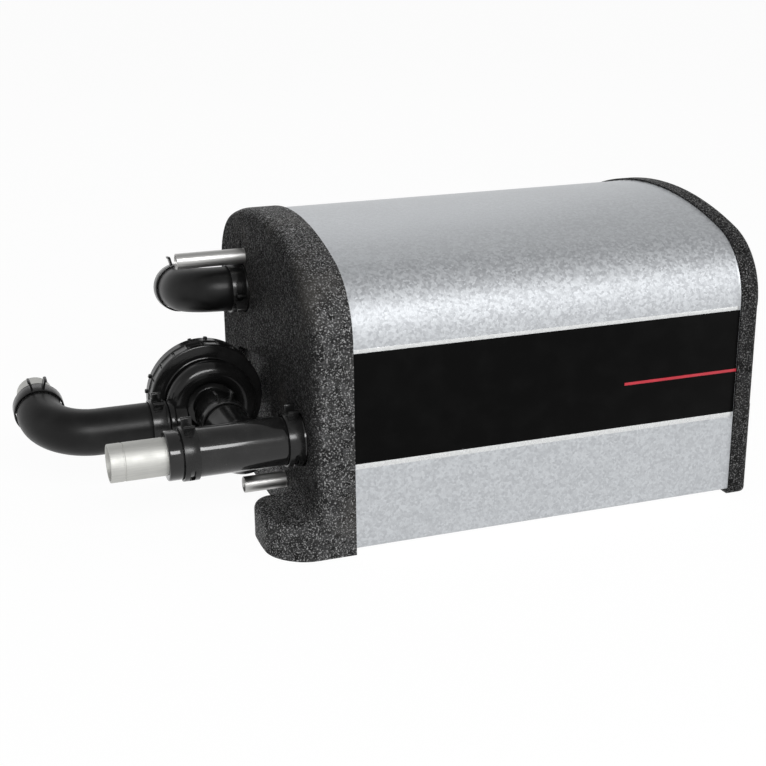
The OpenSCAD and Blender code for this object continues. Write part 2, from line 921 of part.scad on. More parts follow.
// Ring that locks the volute to the motor, with windows round its rim, tabs behind the flange and paired lugs
module lock_ring() {
    lip_r = volute_r + 1.2;
    bevel = 1.2;
    window_w = 8.5;
    window_l = 7.5;
    window_t = 1.2;
    lug = 2.4;
    lug_pairs = 5;
    lug_turn = 92;
    lug_spread = 8;
    color(pump_black)
        pump_frame() {
            difference() {
                rotate_extrude()
                    polygon([
                        [lip_r, seat], [lip_r, seat + ring_lip_t],
                        [ring_r - bevel, seat + ring_lip_t], [ring_r, seat + ring_lip_t - bevel],
                        [ring_r, -ring_w], [ring_r - ring_wall, -ring_w], [ring_r - ring_wall, seat]
                    ]);
                for (i = [0 : ring_windows - 1])
                    rotate([0, 0, 360 * (i + 0.5) / ring_windows])
                        translate([ring_r - window_t, -window_w / 2, -window_t - window_l])
                            cube([window_t + 1, window_w, window_l]);
            }
            for (i = [0 : 5])
                rotate([0, 0, 60 * i + 15])
                    translate([flange_r - 1.5, -4, -ring_w])
                        cube([ring_r - flange_r - 0.5, 8, tab_s + ring_w]);
            for (i = [1 : lug_pairs], side = [-1, 1])
                rotate([0, 0, lug_turn + 360 * i / lug_pairs + side * lug_spread])
                    translate([ring_r - lug / 2, -lug / 2, 1 - ring_w])
                        cube(lug);
        }
}

module volute_seal() {
    seal_r = 0.95;
    color(rubber)
        pump_frame()
            rotate_extrude()
                translate([volute_r + 2, can_s - seal_r - 0.02])
                    circle(seal_r);
}

// Sealed cup that keeps the water away from the stator
module isolating_can() {
    groove = 2.1;
    color(pump_black)
        pump_frame()
            difference() {
                union() {
                    disc(flange_r, can_s - flange_t, can_s);
                    disc(can_r + can_wall, can_bottom - can_wall, can_s - join);
                    disc(shaft_r + 2.5, can_bottom - can_wall, can_bottom + 3);
                }
                difference() {
                    disc(can_r, can_bottom, can_s + cut);
                    disc(shaft_r + 2.5, can_bottom - cut, can_bottom + 3);
                }
                disc(shaft_r + fit, can_bottom, can_s + cut);
                ring(volute_r + 2 + groove / 2, volute_r + 2 - groove / 2, can_s - groove, can_s + cut);
            }
}

module rotor_shaft() {
    color(ceramic)
        pump_frame()
            disc(shaft_r, can_bottom, spider_s + spider_t - 1 - fit);
}

module thrust_washer() {
    color(carbon)
        pump_frame()
            ring(bush_r, shaft_r + fit, chamber_top - 0.6, spider_s);
}

// Open impeller with straight raked blades on its back disc
module impeller() {
    hub_r = bush_r + 2.2;
    top = chamber_top - 1.2;
    floor_s = 1.5;
    color(carbon)
        pump_frame()
            difference() {
                union() {
                    disc(impeller_r, floor_s, floor_s + 2);
                    disc(hub_r, -1.5, top);
                    for (i = [0 : blades - 1])
                        rotate([0, 0, 360 * i / blades])
                            translate([0, hub_r - 1, floor_s + join])
                                rotate([0, 0, 24])
                                    translate([0, -0.9, 0])
                                        cube([impeller_r - hub_r - 1, 1.8, top - floor_s - join]);
                }
                disc(bush_r + fit, -cut - 2, top + cut);
            }
}

module rotor_magnet() {
    color(ferrite)
        pump_frame()
            ring(magnet_r, bush_r + fit, -1.5 - magnet_l, -1.5);
}

module rotor_bush() {
    color(carbon)
        pump_frame()
            ring(bush_r, shaft_r + running, -1.5 - magnet_l, chamber_top - 1.2);
}

module stator_core() {
    color(steel)
        pump_frame() {
            ring(stator_r1, yoke_r, stator_s - stator_l, stator_s);
            for (i = [0 : teeth - 1])
                rotate([0, 0, 360 * i / teeth])
                    translate([stator_r0 + 0.6, -tooth_w / 2, stator_s - stator_l])
                        cube([tooth_l + 0.4, tooth_w, stator_l]);
        }
}

module stator_windings() {
    inner_w = tooth_w + 2 * fit;
    outer_w = inner_w + 2 * coil_w;
    depth = tooth_l - 2;
    color(copper)
        pump_frame()
            for (i = [0 : teeth - 1])
                rotate([0, 0, 360 * i / teeth])
                    translate([stator_r0 + 1.4, 0, stator_s - stator_l / 2])
                        difference() {
                            translate([0, -outer_w / 2, -stator_l / 2 - coil_end])
                                cube([depth, outer_w, stator_l + 2 * coil_end]);
                            translate([-cut, -inner_w / 2, -stator_l / 2 - fit])
                                cube([depth + 2 * cut, inner_w, stator_l + 2 * fit]);
                        }
}

module control_board() {
    color(board_green)
        pump_frame()
            disc(stator_r1, board_s - board_t, board_s);
}

module motor_housing() {
    color(pump_black)
        pump_frame()
            difference() {
                union() {
                    disc(flange_r, housing_s - housing_flange_t, housing_s);
                    disc(motor_r, -motor_l, housing_s - join);
                }
                disc(motor_r - motor_wall, -motor_l - cut, housing_s + cut);
            }
}

module motor_cover() {
    post_top = board_s - board_t - fit;
    cover_s = -motor_l - fit;
    rim_r = motor_r - motor_wall - fit;
    rim_w = 2.8;
    rim_l = 3;
    post_r = 2.4;
    color(pump_black)
        pump_frame()
            difference() {
                union() {
                    disc(motor_r, cover_s - cover_t, cover_s);
                    ring(rim_r, rim_r - rim_w, cover_s - join, cover_s + rim_l);
                    for (i = [0 : 2])
                        rotate([0, 0, 120 * i + 60])
                            translate([motor_r * 0.62, 0, 0])
                                disc(post_r, cover_s - join, post_top);
                }
                translate([0, motor_r / 3, 0])
                    disc(grommet_r + fit, cover_s - cover_t - cut, cover_s + cut);
            }
}

// Rubber grommet that the motor's lead leaves through
module lead_grommet() {
    cover_s = -motor_l - fit;
    color(rubber)
        pump_frame()
            translate([0, motor_r / 3, 0])
                difference() {
                    union() {
                        disc(grommet_r, cover_s - cover_t - 4, cover_s + 1.5);
                        disc(grommet_r + 1.8, cover_s - cover_t - 2, cover_s - cover_t - fit);
                        disc(grommet_r + 1.2, cover_s + fit, cover_s + 1.5);
                    }
                    disc(1.8, cover_s - cover_t - 4 - cut, cover_s - 1);
                }
}

front_cap();
rear_cap();
casing_sheet();
seam_rivets();
side_label();
label_stripe();
vessel_shell();
vessel_front_plate();
vessel_rear_plate();
water_coil();
cold_tube();
hot_tube();
coil_support();
flow_spigot();
return_spigot();
temperature_sensor();
return_tee_hose();
return_pipe();
flow_hose();
flow_pipe();
outlet_hose();
outlet_pipe();
return_pipe_clamp();
return_spigot_clamp();
flow_spigot_clamp();
flow_pipe_clamp();
pump_inlet_clamp();
pump_outlet_clamp();
outlet_pipe_clamp();
pump_volute();
lock_ring();
volute_seal();
isolating_can();
rotor_shaft();
thrust_washer();
impeller();
rotor_magnet();
rotor_bush();
stator_core();
stator_windings();
control_board();
motor_housing();
motor_cover();
lead_grommet();
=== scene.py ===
"""Looks of a caravan water heater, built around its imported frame.

Every mesh is drawn in millimetres, in the object's own frame: X runs back along the casing, Y away from
the side with the label and Z up. A finished mesh is scaled to metres.
"""

import json
import logging
import math
from dataclasses import dataclass, field
from enum import Enum
from typing import Callable, Iterable, Sequence

import bmesh
import bpy
import numpy as np
from bmesh.types import BMEdge, BMesh, BMVert
from bpy.types import Material, Node, NodeSocket, Object, World
from mathutils import Matrix, Vector


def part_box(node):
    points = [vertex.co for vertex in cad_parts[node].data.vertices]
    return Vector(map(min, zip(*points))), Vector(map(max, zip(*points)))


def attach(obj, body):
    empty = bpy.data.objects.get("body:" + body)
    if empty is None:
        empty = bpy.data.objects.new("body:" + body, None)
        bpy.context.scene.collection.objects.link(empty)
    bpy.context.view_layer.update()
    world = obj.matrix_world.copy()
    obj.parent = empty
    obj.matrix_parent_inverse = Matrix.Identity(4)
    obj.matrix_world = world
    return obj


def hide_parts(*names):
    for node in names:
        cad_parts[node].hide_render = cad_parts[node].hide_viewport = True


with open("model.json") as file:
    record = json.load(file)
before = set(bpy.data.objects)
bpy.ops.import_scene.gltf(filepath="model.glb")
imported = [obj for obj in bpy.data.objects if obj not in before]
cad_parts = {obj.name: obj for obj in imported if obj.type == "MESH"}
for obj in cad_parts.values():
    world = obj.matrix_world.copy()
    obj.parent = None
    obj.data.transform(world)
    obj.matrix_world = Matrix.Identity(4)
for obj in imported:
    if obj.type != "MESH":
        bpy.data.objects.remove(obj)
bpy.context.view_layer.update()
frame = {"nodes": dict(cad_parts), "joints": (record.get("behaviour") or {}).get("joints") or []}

LOG = logging.getLogger("water_heater")
MM = 0.001
QUARTER = math.pi / 2
FULL_TURN = 2 * math.pi
# Gap between pieces that fit, and between the foam and what it holds, as the solids have them
FIT = 0.15
SEAT = 0.3
# Vertices closer than this are one
WELD = 0.002
# Vertices closer than this to a cutting plane lie on it
ON_PLANE = 0.0005
# How far a cutter reaches past what it cuts
PAST = 1.0
# Place of the middle point of a rounded corner, as a share of its radius
ROUND = 0.3
# Body that every drawn piece rides on
UNIT = "unit"
# Pump's outlet: how far it lies towards the inlet's tip, and below the axis
OUTLET_S = 18.3
OUTLET_DROP = 6.5

Tone = tuple[float, float, float]
Point = tuple[float, float, float]
Span = tuple[float, float]
# Where most values of a noise lie, and the whole range
MOST: Span = (0.3, 0.7)
WHOLE: Span = (0.0, 1.0)


def neutral(level: float) -> Tone:
    """Grey tone of one level."""
    return (level, level, level)


class Cut(Enum):
    """How one closed mesh works on another."""

    ADD = "UNION"
    REMOVE = "DIFFERENCE"


class Axis(Enum):
    """Directions of the object's frame."""

    X = (1.0, 0.0, 0.0)
    Y = (0.0, 1.0, 0.0)
    Z = (0.0, 0.0, 1.0)

    @property
    def vector(self) -> Vector:
        """Direction as a vector."""
        return Vector(self.value)


@dataclass(frozen=True)
class Box:
    """Lowest and highest corner of a node at rest, in millimetres."""

    low: Vector
    high: Vector

    @property
    def mid(self) -> Vector:
        """Middle of the box."""
        return (self.low + self.high) / 2

    @property
    def half_h(self) -> float:
        """Half its height, which is the radius of a pipe along X."""
        return (self.high.z - self.low.z) / 2

    @classmethod
    def of(cls, node: str) -> "Box":
        """Box of one node of the frame."""
        low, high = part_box(node)
        return cls(low / MM, high / MM)


def box_of(node: str) -> Box:
    """Field of a class that holds the box of one node."""
    return field(default_factory=lambda: Box.of(node))


class Graph:
    """Nodes of a material or of the surroundings, with short calls for those that are used often."""

    def __init__(self, owner: Material | World, shader: str = "Principled BSDF") -> None:
        """Takes up the nodes.

        Args:
            owner: What they belong to.
            shader: Name of its shader.
        """
        owner.use_nodes = True
        self.tree = owner.node_tree
        self.shader: Node = self.tree.nodes[shader]
        # Patterns follow Object coordinates, and the surroundings follow the direction of the ray
        places = self.tree.nodes.new("ShaderNodeTexCoord").outputs
        self.place: NodeSocket = places["Object"]
        self.direction: NodeSocket = places["Generated"]

    def node(self, kind: str, inputs: dict, **settings: object) -> Node:
        """Adds a node.

        Args:
            kind: Blender's name of the node.
            inputs: Values, or sockets to link, by the input's name or number.
            settings: Values of the node's own properties.

        Returns:
            The new node.
        """
        made = self.tree.nodes.new(kind)
        for name, value in settings.items():
            setattr(made, name, value)
        for name, value in inputs.items():
            self.feed(made.inputs[name], value)
        return made

    def feed(self, socket: NodeSocket, value: object) -> None:
        """Links a socket to an input, or sets the input's own value."""
        if isinstance(value, NodeSocket):
            self.tree.links.new(value, socket)
        else:
            socket.default_value = value

    def set(self, **inputs: object) -> None:
        """Feeds the shader's inputs, with an underscore for each space in a name."""
        for name, value in inputs.items():
            self.feed(self.shader.inputs[name.replace("_", " ")], value)

    def stretched(self, scale: Point) -> NodeSocket:
        """Object coordinates stretched by one factor on each axis."""
        return self.node("ShaderNodeMapping", {"Vector": self.place, "Scale": scale}).outputs["Vector"]

    def along(self, axis: Axis) -> NodeSocket:
        """One of the Object coordinates, in metres."""
        return self.node("ShaderNodeSeparateXYZ", {"Vector": self.place}).outputs[axis.name]

    def noise(self, size: float, detail: float = 3.0, vector: NodeSocket | None = None) -> NodeSocket:
        """Soft noise from 0 to 1.

        Args:
            size: Size of its patches in millimetres.
            detail: Number of finer layers.
            vector: Coordinates, or the Object coordinates.

        Returns:
            The noise's value.
        """
        inputs = {"Vector": vector or self.place, "Scale": 1 / (size * MM), "Detail": detail}
        return self.node("ShaderNodeTexNoise", inputs).outputs["Fac"]

    def cells(self, size: float, output: str) -> NodeSocket:
        """One output of Voronoi cells, whose size is in millimetres."""
        inputs = {"Vector": self.place, "Scale": 1 / (size * MM)}
        return self.node("ShaderNodeTexVoronoi", inputs).outputs[output]

    def cell_tone(self, size: float) -> NodeSocket:
        """Value from 0 to 1 that each Voronoi cell has for itself."""
        colour = self.cells(size, "Color")
        return self.node("ShaderNodeSeparateColor", {"Color": colour}).outputs[0]

    def ramp(self, axis: Axis, ends: Span, target: Span) -> NodeSocket:
        """Value that changes along one axis, between two stations in millimetres."""
        return self.fit(self.along(axis), (ends[0] * MM, ends[1] * MM), target)

    def fit(self, value: NodeSocket, source: Span, target: Span) -> NodeSocket:
        """Value taken from one range to another, and held inside it."""
        inputs = {
            "Value": value, "From Min": source[0], "From Max": source[1],
            "To Min": target[0], "To Max": target[1],
        }
        return self.node("ShaderNodeMapRange", inputs).outputs["Result"]

    def combine(self, operation: str, first: object, second: object) -> NodeSocket:
        """Result of one arithmetic operation."""
        return self.node("ShaderNodeMath", {0: first, 1: second}, operation=operation).outputs[0]

    def blend(self, share: object, first: object, second: object) -> NodeSocket:
        """Mix of two tones or colour sockets."""
        wide = [(*c, 1.0) if isinstance(c, tuple) else c for c in (first, second)]
        made = self.node("ShaderNodeMix", {0: share, 6: wide[0], 7: wide[1]}, data_type="RGBA")
        return made.outputs[2]

    def bump(self, height: NodeSocket, depth: float, under: NodeSocket | None = None) -> NodeSocket:
        """Normal of a relief.

        Args:
            height: Relief from 0 to 1.
            depth: Its depth in millimetres.
            under: Normal of a coarser relief below it.

        Returns:
            The bumped normal.
        """
        inputs = {"Height": height, "Distance": depth * MM}
        if under is not None:
            inputs["Normal"] = under
        return self.node("ShaderNodeBump", inputs).outputs["Normal"]


@dataclass(frozen=True)
class Finish:
    """Surface finish of a material slot of the record."""

    name: str
    slot: str

    def material(self) -> Material:
        """Material of this finish, made once."""
        found = bpy.data.materials.get(self.name)
        if found is None:
            found = bpy.data.materials.new(self.name)
            self.paint(Graph(found))
        return found

    def paint(self, graph: Graph) -> None:
        """Sets up the finish's shader graph."""
        raise NotImplementedError


@dataclass(frozen=True)
class Mottled(Finish):
    """Two close tones in soft patches, with an uneven gloss and a fine relief."""

    dark: Tone
    pale: Tone
    grain: float = 4.0
    rough: Span = (0.35, 0.5)
    metallic: float = 0.0
    relief: float = 0.02

    def paint(self, graph: Graph) -> None:
        """Sets up the patches, the gloss and the relief."""
        patch = graph.fit(graph.noise(self.grain), MOST, WHOLE)
        graph.set(
            Base_Color=graph.blend(patch, self.dark, self.pale),
            Roughness=graph.fit(graph.noise(3 * self.grain), MOST, self.rough),
            Metallic=self.metallic,
            Normal=graph.bump(graph.noise(self.grain / 6), self.relief),
        )


@dataclass(frozen=True)
class BeadFoam(Finish):
    """Moulded bead foam: pressed beads with painted glints, some dust and a smoother skin in front.

    The skin lies in front of one station and above one height, and fades over a few millimetres. It is
    darkened with painted shade, and it dulls the sheen.
    """

    bead: float = 3.4
    bead_relief: float = 0.55
    grit: float = 0.95
    grit_relief: float = 0.42
    drift: float = 38.0
    # Where the smoother skin lies, darkened with painted shade, and how much of its tone the painted shade
    # takes
    shaded_skin_x: Span = (-10.8, -6.5)
    shaded_skin_z: Span = (25.0, 36.0)
    shaded_skin_share: float = 0.62
    dark: Tone = neutral(0.016)
    grey: Tone = (0.130, 0.130, 0.132)
    # Pale tone of the painted glints of the beads
    painted_glint: Tone = neutral(0.42)
    dust: Tone = (0.110, 0.104, 0.096)

    def paint(self, graph: Graph) -> None:
        """Sets up the beads, their grit with painted glints, the skin with its painted shade, and the dust.
        """
        centre = graph.cells(self.bead, "Distance")
        grit = graph.noise(self.grit, 2.0)
        tone = graph.blend(graph.combine("MULTIPLY", graph.cell_tone(self.bead), grit), self.dark, self.grey)
        # Pale specks where the grit is high: painted glints of the bead facets
        tone = graph.blend(graph.fit(grit, (0.55, 0.68), (0.0, 0.85)), tone, self.painted_glint)
        # Front face above the foot darkened by position: painted shade, over a smoother skin that also dulls
        # the sheen
        front = graph.ramp(Axis.X, self.shaded_skin_x, (1.0, 0.0))
        upper = graph.ramp(Axis.Z, self.shaded_skin_z, WHOLE)
        skin = graph.combine("MULTIPLY", graph.combine("MULTIPLY", front, upper), self.shaded_skin_share)
        tone = graph.blend(skin, tone, self.dark)
        drift = graph.fit(graph.noise(self.drift, 2.0), (0.55, 0.75), (0.0, 0.35))
        sheen = graph.fit(grit, (0.50, 0.65), (0.02, 0.30))
        dulled = graph.fit(skin, (0.0, self.shaded_skin_share), (1.0, 0.1))
        beads = graph.bump(graph.combine("SUBTRACT", 1.0, centre), self.bead_relief)
        graph.set(
            Base_Color=graph.blend(drift, tone, self.dust),
            Roughness=graph.fit(grit, (0.35, 0.65), (0.62, 0.38)),
            Normal=graph.bump(grit, self.grit_relief, beads),
            Specular_IOR_Level=graph.combine("MULTIPLY", sheen, dulled),
        )


@dataclass(frozen=True)
class ZincSheet(Finish):
    """Galvanised sheet: small spangles that turn the light a little, each with its own tone."""

    spangle: float = 1.5
    frost: float = 0.8
    frost_share: float = 0.55
    cloud: float = 60.0
    wave: float = 45.0
    wave_relief: float = 0.35
    relief: float = 0.022
    metallic: float = 0.85
    rough: Span = (0.36, 0.52)
    dark: Tone = (0.44, 0.455, 0.475)
    pale: Tone = (0.585, 0.605, 0.625)

    def paint(self, graph: Graph) -> None:
        """Sets up the spangles, the fine frost over them and the rolled waves of the sheet."""
        own = graph.cell_tone(self.spangle)
        spangles = graph.combine("MULTIPLY", own, 1 - self.frost_share)
        frost = graph.combine("MULTIPLY", graph.noise(self.frost, 3.0), self.frost_share)
        share = graph.fit(graph.combine("ADD", spangles, frost), (0.25, 0.75), WHOLE)
        cloud = graph.fit(graph.noise(self.cloud, 2.0), MOST, (0.85, 1.0))
        share = graph.combine("MULTIPLY", share, cloud)
        waves = graph.bump(graph.noise(self.wave, 1.0), self.wave_relief)
        graph.set(
            Base_Color=graph.blend(share, self.dark, self.pale),
            Roughness=graph.fit(own, WHOLE, self.rough),
            Metallic=self.metallic,
            Normal=graph.bump(share, self.relief, waves),
        )


@dataclass(frozen=True)
class Moulded(Finish):
    """Moulded rubber or plastic: nearly black, with a sheen that faint smears and grain break up."""

    tone: Tone
    smear: Tone
    rough: Span
    grain: float = 0.5
    relief: float = 0.01
    coat: float = 0.0
    coat_rough: float = 0.06
    shine: float = 0.5
    smear_size: float = 14.0

    def paint(self, graph: Graph) -> None:
        """Sets up the smears, the grain and the gloss."""
        smears = graph.fit(graph.noise(self.smear_size, 4.0), (0.45, 0.75), WHOLE)
        graph.set(
            Base_Color=graph.blend(smears, self.tone, self.smear),
            Roughness=graph.fit(smears, WHOLE, self.rough),
            Normal=graph.bump(graph.noise(self.grain, 2.0), self.relief),
            Specular_IOR_Level=self.shine,
            Coat_Weight=self.coat,
            Coat_Roughness=self.coat_rough,
        )


@dataclass(frozen=True)
class FadingGloss(Moulded):
    """Moulded rubber whose wet gloss fades along Y, from one station to another."""

    fade: Span = (-77.0, -68.0)
    dull: float = 0.05

    def paint(self, graph: Graph) -> None:
        """Sets up the rubber, and the gloss over it."""
        super().paint(graph)
        graph.set(Coat_Weight=graph.ramp(Axis.Y, self.fade, (self.coat, self.dull)))


@dataclass(frozen=True)
class DrawnMetal(Finish):
    """Drawn or turned metal with fine lines along one axis."""

    dark: Tone
    pale: Tone
    lines: Point
    rough: Span
    relief: float = 0.006
    line: float = 0.6
    stain: float = 9.0

    def paint(self, graph: Graph) -> None:
        """Sets up the fine lines, and cloudy stains under them."""
        line = graph.noise(self.line, 3.0, graph.stretched(self.lines))
        stain = graph.fit(graph.noise(self.stain, 4.0), (0.4, 0.7), WHOLE)
        worn = graph.fit(stain, WHOLE, (1.0, 0.75))
        share = graph.combine("MULTIPLY", graph.fit(line, MOST, (0.4, 1.0)), worn)
        graph.set(
            Base_Color=graph.blend(share, self.dark, self.pale),
            Roughness=graph.fit(stain, WHOLE, self.rough),
            Metallic=1.0,
            Normal=graph.bump(line, self.relief),
        )


FOAM = BeadFoam("bead_foam", "foam")
# Same foam for the rear cap with darker tones, dust and glints: painted shade, where the light falls off
# towards the rear
SHADED_REAR_FOAM = BeadFoam(
    "bead_foam_rear_painted_shade", "foam", dark=neutral(0.010), grey=(0.050, 0.050, 0.051), painted_glint=neutral(0.18),
    dust=(0.055, 0.052, 0.048),
)
ZINC = ZincSheet("galvanised_sheet", "zinc_sheet")
RIVET_STEEL = Mottled(
    "rivet_steel_zinc", "rivet_steel", neutral(0.42), (0.58, 0.58, 0.57), grain=2.0, rough=(0.3, 0.45),
    metallic=1.0,
)
LABEL_BLACK = Moulded(
    "label_satin_black", "label_film", neutral(0.0035), neutral(0.0055), (0.30, 0.36), grain=0.8,
    relief=0.004, shine=0.03,
)
LABEL_CLEAR = Mottled(
    "label_clear_margin", "label_film", (0.66, 0.67, 0.67), (0.78, 0.79, 0.79), grain=1.4, rough=(0.22, 0.34),
    metallic=0.5,
)
STRIPE_RED = Moulded(
    "stripe_red_film", "stripe_film", (0.52, 0.022, 0.040), (0.60, 0.035, 0.055), (0.30, 0.38), grain=0.8,
    relief=0.004,
)
STAINLESS = DrawnMetal(
    "stainless_drawn", "stainless", neutral(0.36), (0.52, 0.515, 0.50), (0.02, 1.0, 1.0), (0.38, 0.44),
    relief=0.0003,
)
PIPE_ALLOY = DrawnMetal(
    "pipe_alloy_drawn", "pipe_alloy", (0.42, 0.42, 0.41), (0.54, 0.54, 0.515), (0.03, 1.0, 1.0), (0.58, 0.66),
    relief=0.002,
)
BRASS = Mottled(
    "sensor_brass_turned", "sensor_brass", (0.50, 0.36, 0.12), (0.66, 0.50, 0.20), grain=3.0,
    rough=(0.25, 0.4), metallic=1.0,
)
TEE_RUBBER = FadingGloss(
    "tee_rubber_glossy", "tee_rubber", neutral(0.008), neutral(0.018), (0.20, 0.34), grain=1.6, relief=0.03,
    coat=0.7, shine=0.10,
)
HOSE_RUBBER = Moulded(
    "hose_rubber_satin", "hose_rubber", neutral(0.006), neutral(0.012), (0.36, 0.46), grain=0.4, relief=0.015,
    shine=0.20,
)
CLAMP_STEEL = Moulded(
    "clamp_black_coating", "clamp_steel", neutral(0.007), neutral(0.020), (0.22, 0.36), grain=0.6,
    relief=0.012, shine=0.35,
)
PUMP_PLASTIC = Moulded(
    "pump_glass_filled", "pump_plastic", neutral(0.007), neutral(0.014), (0.15, 0.25), grain=0.45, shine=0.30,
)
SEAL_RUBBER = Moulded(
    "seal_rubber_matt", "seal_rubber", neutral(0.012), neutral(0.022), (0.5, 0.65), grain=0.6, relief=0.015,
)
CERAMIC = Mottled(
    "shaft_ceramic_ground", "shaft_ceramic", (0.78, 0.78, 0.74), (0.86, 0.86, 0.83), grain=3.0,
    rough=(0.18, 0.3),
)
CARBON = Mottled(
    "carbon_turned", "carbon", (0.020, 0.020, 0.021), (0.045, 0.045, 0.047), grain=2.0, rough=(0.35, 0.55),
)
FERRITE = Mottled(
    "ferrite_ground", "ferrite", (0.030, 0.030, 0.034), (0.065, 0.065, 0.070), grain=2.5, rough=(0.4, 0.6),
    metallic=0.3,
)
CORE_STEEL = Mottled(
    "core_sheet_stack", "core_steel", (0.30, 0.30, 0.31), (0.46, 0.46, 0.47), grain=0.8, rough=(0.3, 0.5),
    metallic=1.0, relief=0.05,
)
COPPER = Mottled(
    "winding_enamel", "copper", (0.42, 0.16, 0.06), (0.62, 0.28, 0.12), grain=0.7, rough=(0.25, 0.4),
    metallic=0.9, relief=0.08,
)
BOARD = Mottled(
    "board_lacquer", "board", (0.008, 0.06, 0.025), (0.015, 0.11, 0.045), grain=2.0, rough=(0.25, 0.4),
)


class Pen:
    """Draws an outline in a plane across X or along it: straight runs are extruded, arcs are spun."""

    def __init__(self, bm: BMesh, start: Point, axis: Axis) -> None:
        """Sets the pen down.

        Args:
            bm: Mesh that takes the outline.
            start: First point.
            axis: Axis that the arcs turn about.
        """
        self.bm = bm
        self.axis = axis
        self.drawn = set(bm.edges)
        self.first: BMVert = bm.verts.new(start)
        self.tip: BMVert = self.first

    def run(self, point: Point) -> "Pen":
        """Draws a straight run to a point."""
        self.tip = bmesh.ops.extrude_vert_indiv(self.bm, verts=[self.tip])["verts"][0]
        self.tip.co = point
        return self

    def arc(self, centre: Point, angle: float, steps: int) -> "Pen":
        """Draws an arc round a centre, by an angle in radians."""
        made = bmesh.ops.spin(
            self.bm, geom=[self.tip], cent=centre, axis=self.axis.value, angle=angle, steps=steps,
            use_duplicate=False,
        )
        self.tip = next(item for item in made["geom_last"] if isinstance(item, BMVert))
        return self

    def close(self) -> list[BMEdge]:
        """Joins the last point to the first, and gives the outline's edges."""
        self.bm.edges.new((self.tip, self.first))
        return self.edges()

    def edges(self) -> list[BMEdge]:
        """Edges of the outline so far."""
        return [edge for edge in self.bm.edges if edge not in self.drawn]


def bridge(bm: BMesh, loops: Sequence[list[BMEdge]]) -> None:
    """Joins each outline to the next one with a band of faces."""
    for first, second in zip(loops, loops[1:]):
        bmesh.ops.bridge_loops(bm, edges=[*first, *second])


def cap(bm: BMesh, loop: list[BMEdge]) -> None:
    """Closes an outline with one face."""
    bmesh.ops.edgeloop_fill(bm, edges=loop)


def weld(bm: BMesh) -> None:
    """Merges doubled vertices."""
    bmesh.ops.remove_doubles(bm, verts=bm.verts[:], dist=WELD)


def face_out(bm: BMesh) -> None:
    """Turns every face outwards."""
    bmesh.ops.recalc_face_normals(bm, faces=bm.faces[:])


def tidy(bm: BMesh) -> None:
    """Merges doubled vertices and turns every face outwards."""
    weld(bm)
    face_out(bm)


def closed(bm: BMesh, loops: Sequence[list[BMEdge]]) -> BMesh:
    """Solid over outlines that follow each other, closed at both ends."""
    bridge(bm, loops)
    cap(bm, loops[0])
    cap(bm, loops[-1])
    tidy(bm)
    return bm


def round_off(bm: BMesh, edges: list[BMEdge], width: float, segments: int) -> None:
    """Rounds edges over a width in millimetres."""
    bmesh.ops.bevel(
        bm, geom=edges, offset=width, offset_type="OFFSET", segments=segments, profile=0.5, affect="EDGES",
        material=-1, clamp_overlap=True,
    )


def soften(bm: BMesh, width: float, segments: int = 2, angle: float = 0.6) -> None:
    """Rounds every edge that turns by more than an angle.

    Args:
        bm: Closed mesh.
        width: Width of the rounding in millimetres.
        segments: Faces across the rounding.
        angle: Least turn of an edge that is rounded, in radians.
    """
    sharp = [e for e in bm.edges if len(e.link_faces) == 2 and e.calc_face_angle(0.0) > angle]
    round_off(bm, sharp, width, segments)


def lathe(profile: Iterable[Span], steps: int = 64) -> BMesh:
    """Turns a closed profile round local Z.

    Args:
        profile: Points of radius and height, in order round the profile.
        steps: Steps of the full turn.

    Returns:
        The turned mesh.
    """
    bm = bmesh.new()
    verts = [bm.verts.new((radius, 0.0, height)) for radius, height in profile]
    edges = [bm.edges.new(pair) for pair in zip(verts, [*verts[1:], verts[0]])]
    bmesh.ops.spin(
        bm, geom=[*verts, *edges], cent=(0, 0, 0), axis=(0, 0, 1), angle=FULL_TURN, steps=steps,
        use_merge=True, use_duplicate=False,
    )
    weld(bm)
    bmesh.ops.dissolve_degenerate(bm, dist=WELD, edges=bm.edges[:])
    face_out(bm)
    return bm


def arc_points(centre: Span, radius: float, start: float, end: float, steps: int = 30) -> list[Span]:
    """Points of an arc in a profile, from one angle to another in radians."""
    turns = [start + (end - start) * index / steps for index in range(steps + 1)]
    return [(centre[0] + radius * math.cos(turn), centre[1] + radius * math.sin(turn)) for turn in turns]


def rod(radius: float, low: float, high: float, steps: int = 64) -> BMesh:
    """Plain round rod along local Z, for cutting and joining."""
    return lathe([(0.0, low), (radius, low), (radius, high), (0.0, high)], steps)


def block(low: Point, high: Point) -> BMesh:
    """Plain block between two corners, for cutting and joining."""
    bm = bmesh.new()
    size = Vector(high) - Vector(low)
    middle = (Vector(high) + Vector(low)) / 2
    bmesh.ops.create_cube(bm, size=1.0, matrix=Matrix.Translation(middle) @ Matrix.Diagonal((*size, 1.0)))
    return bm


def placed(bm: BMesh, place: Matrix) -> BMesh:
    """Same mesh, moved to its place."""
    bmesh.ops.transform(bm, matrix=place, verts=bm.verts[:])
    return bm


def merged(parts: Iterable[BMesh]) -> BMesh:
    """One mesh with all the parts in it, which are used up."""
    whole = bmesh.new()
    for part in parts:
        spare = bpy.data.meshes.new("spare")
        part.to_mesh(spare)
        part.free()
        whole.from_mesh(spare)
        bpy.data.meshes.remove(spare)
    return whole


def around(count: int, start: float) -> list[Matrix]:
    """Turns about local Z, spread evenly from a start in radians."""
    return [Matrix.Rotation(FULL_TURN * index / count + start, 4, "Z") for index in range(count)]


def along(origin: Point, direction: Vector, up: Vector) -> Matrix:
    """Frame whose local Z runs along a direction and whose local Y points up."""
    z_axis = direction.normalized()
    x_axis = up.cross(z_axis).normalized()
    y_axis = z_axis.cross(x_axis)
    turn = Matrix((x_axis, y_axis, z_axis)).transposed()
    return Matrix.Translation(origin) @ turn.to_4x4()


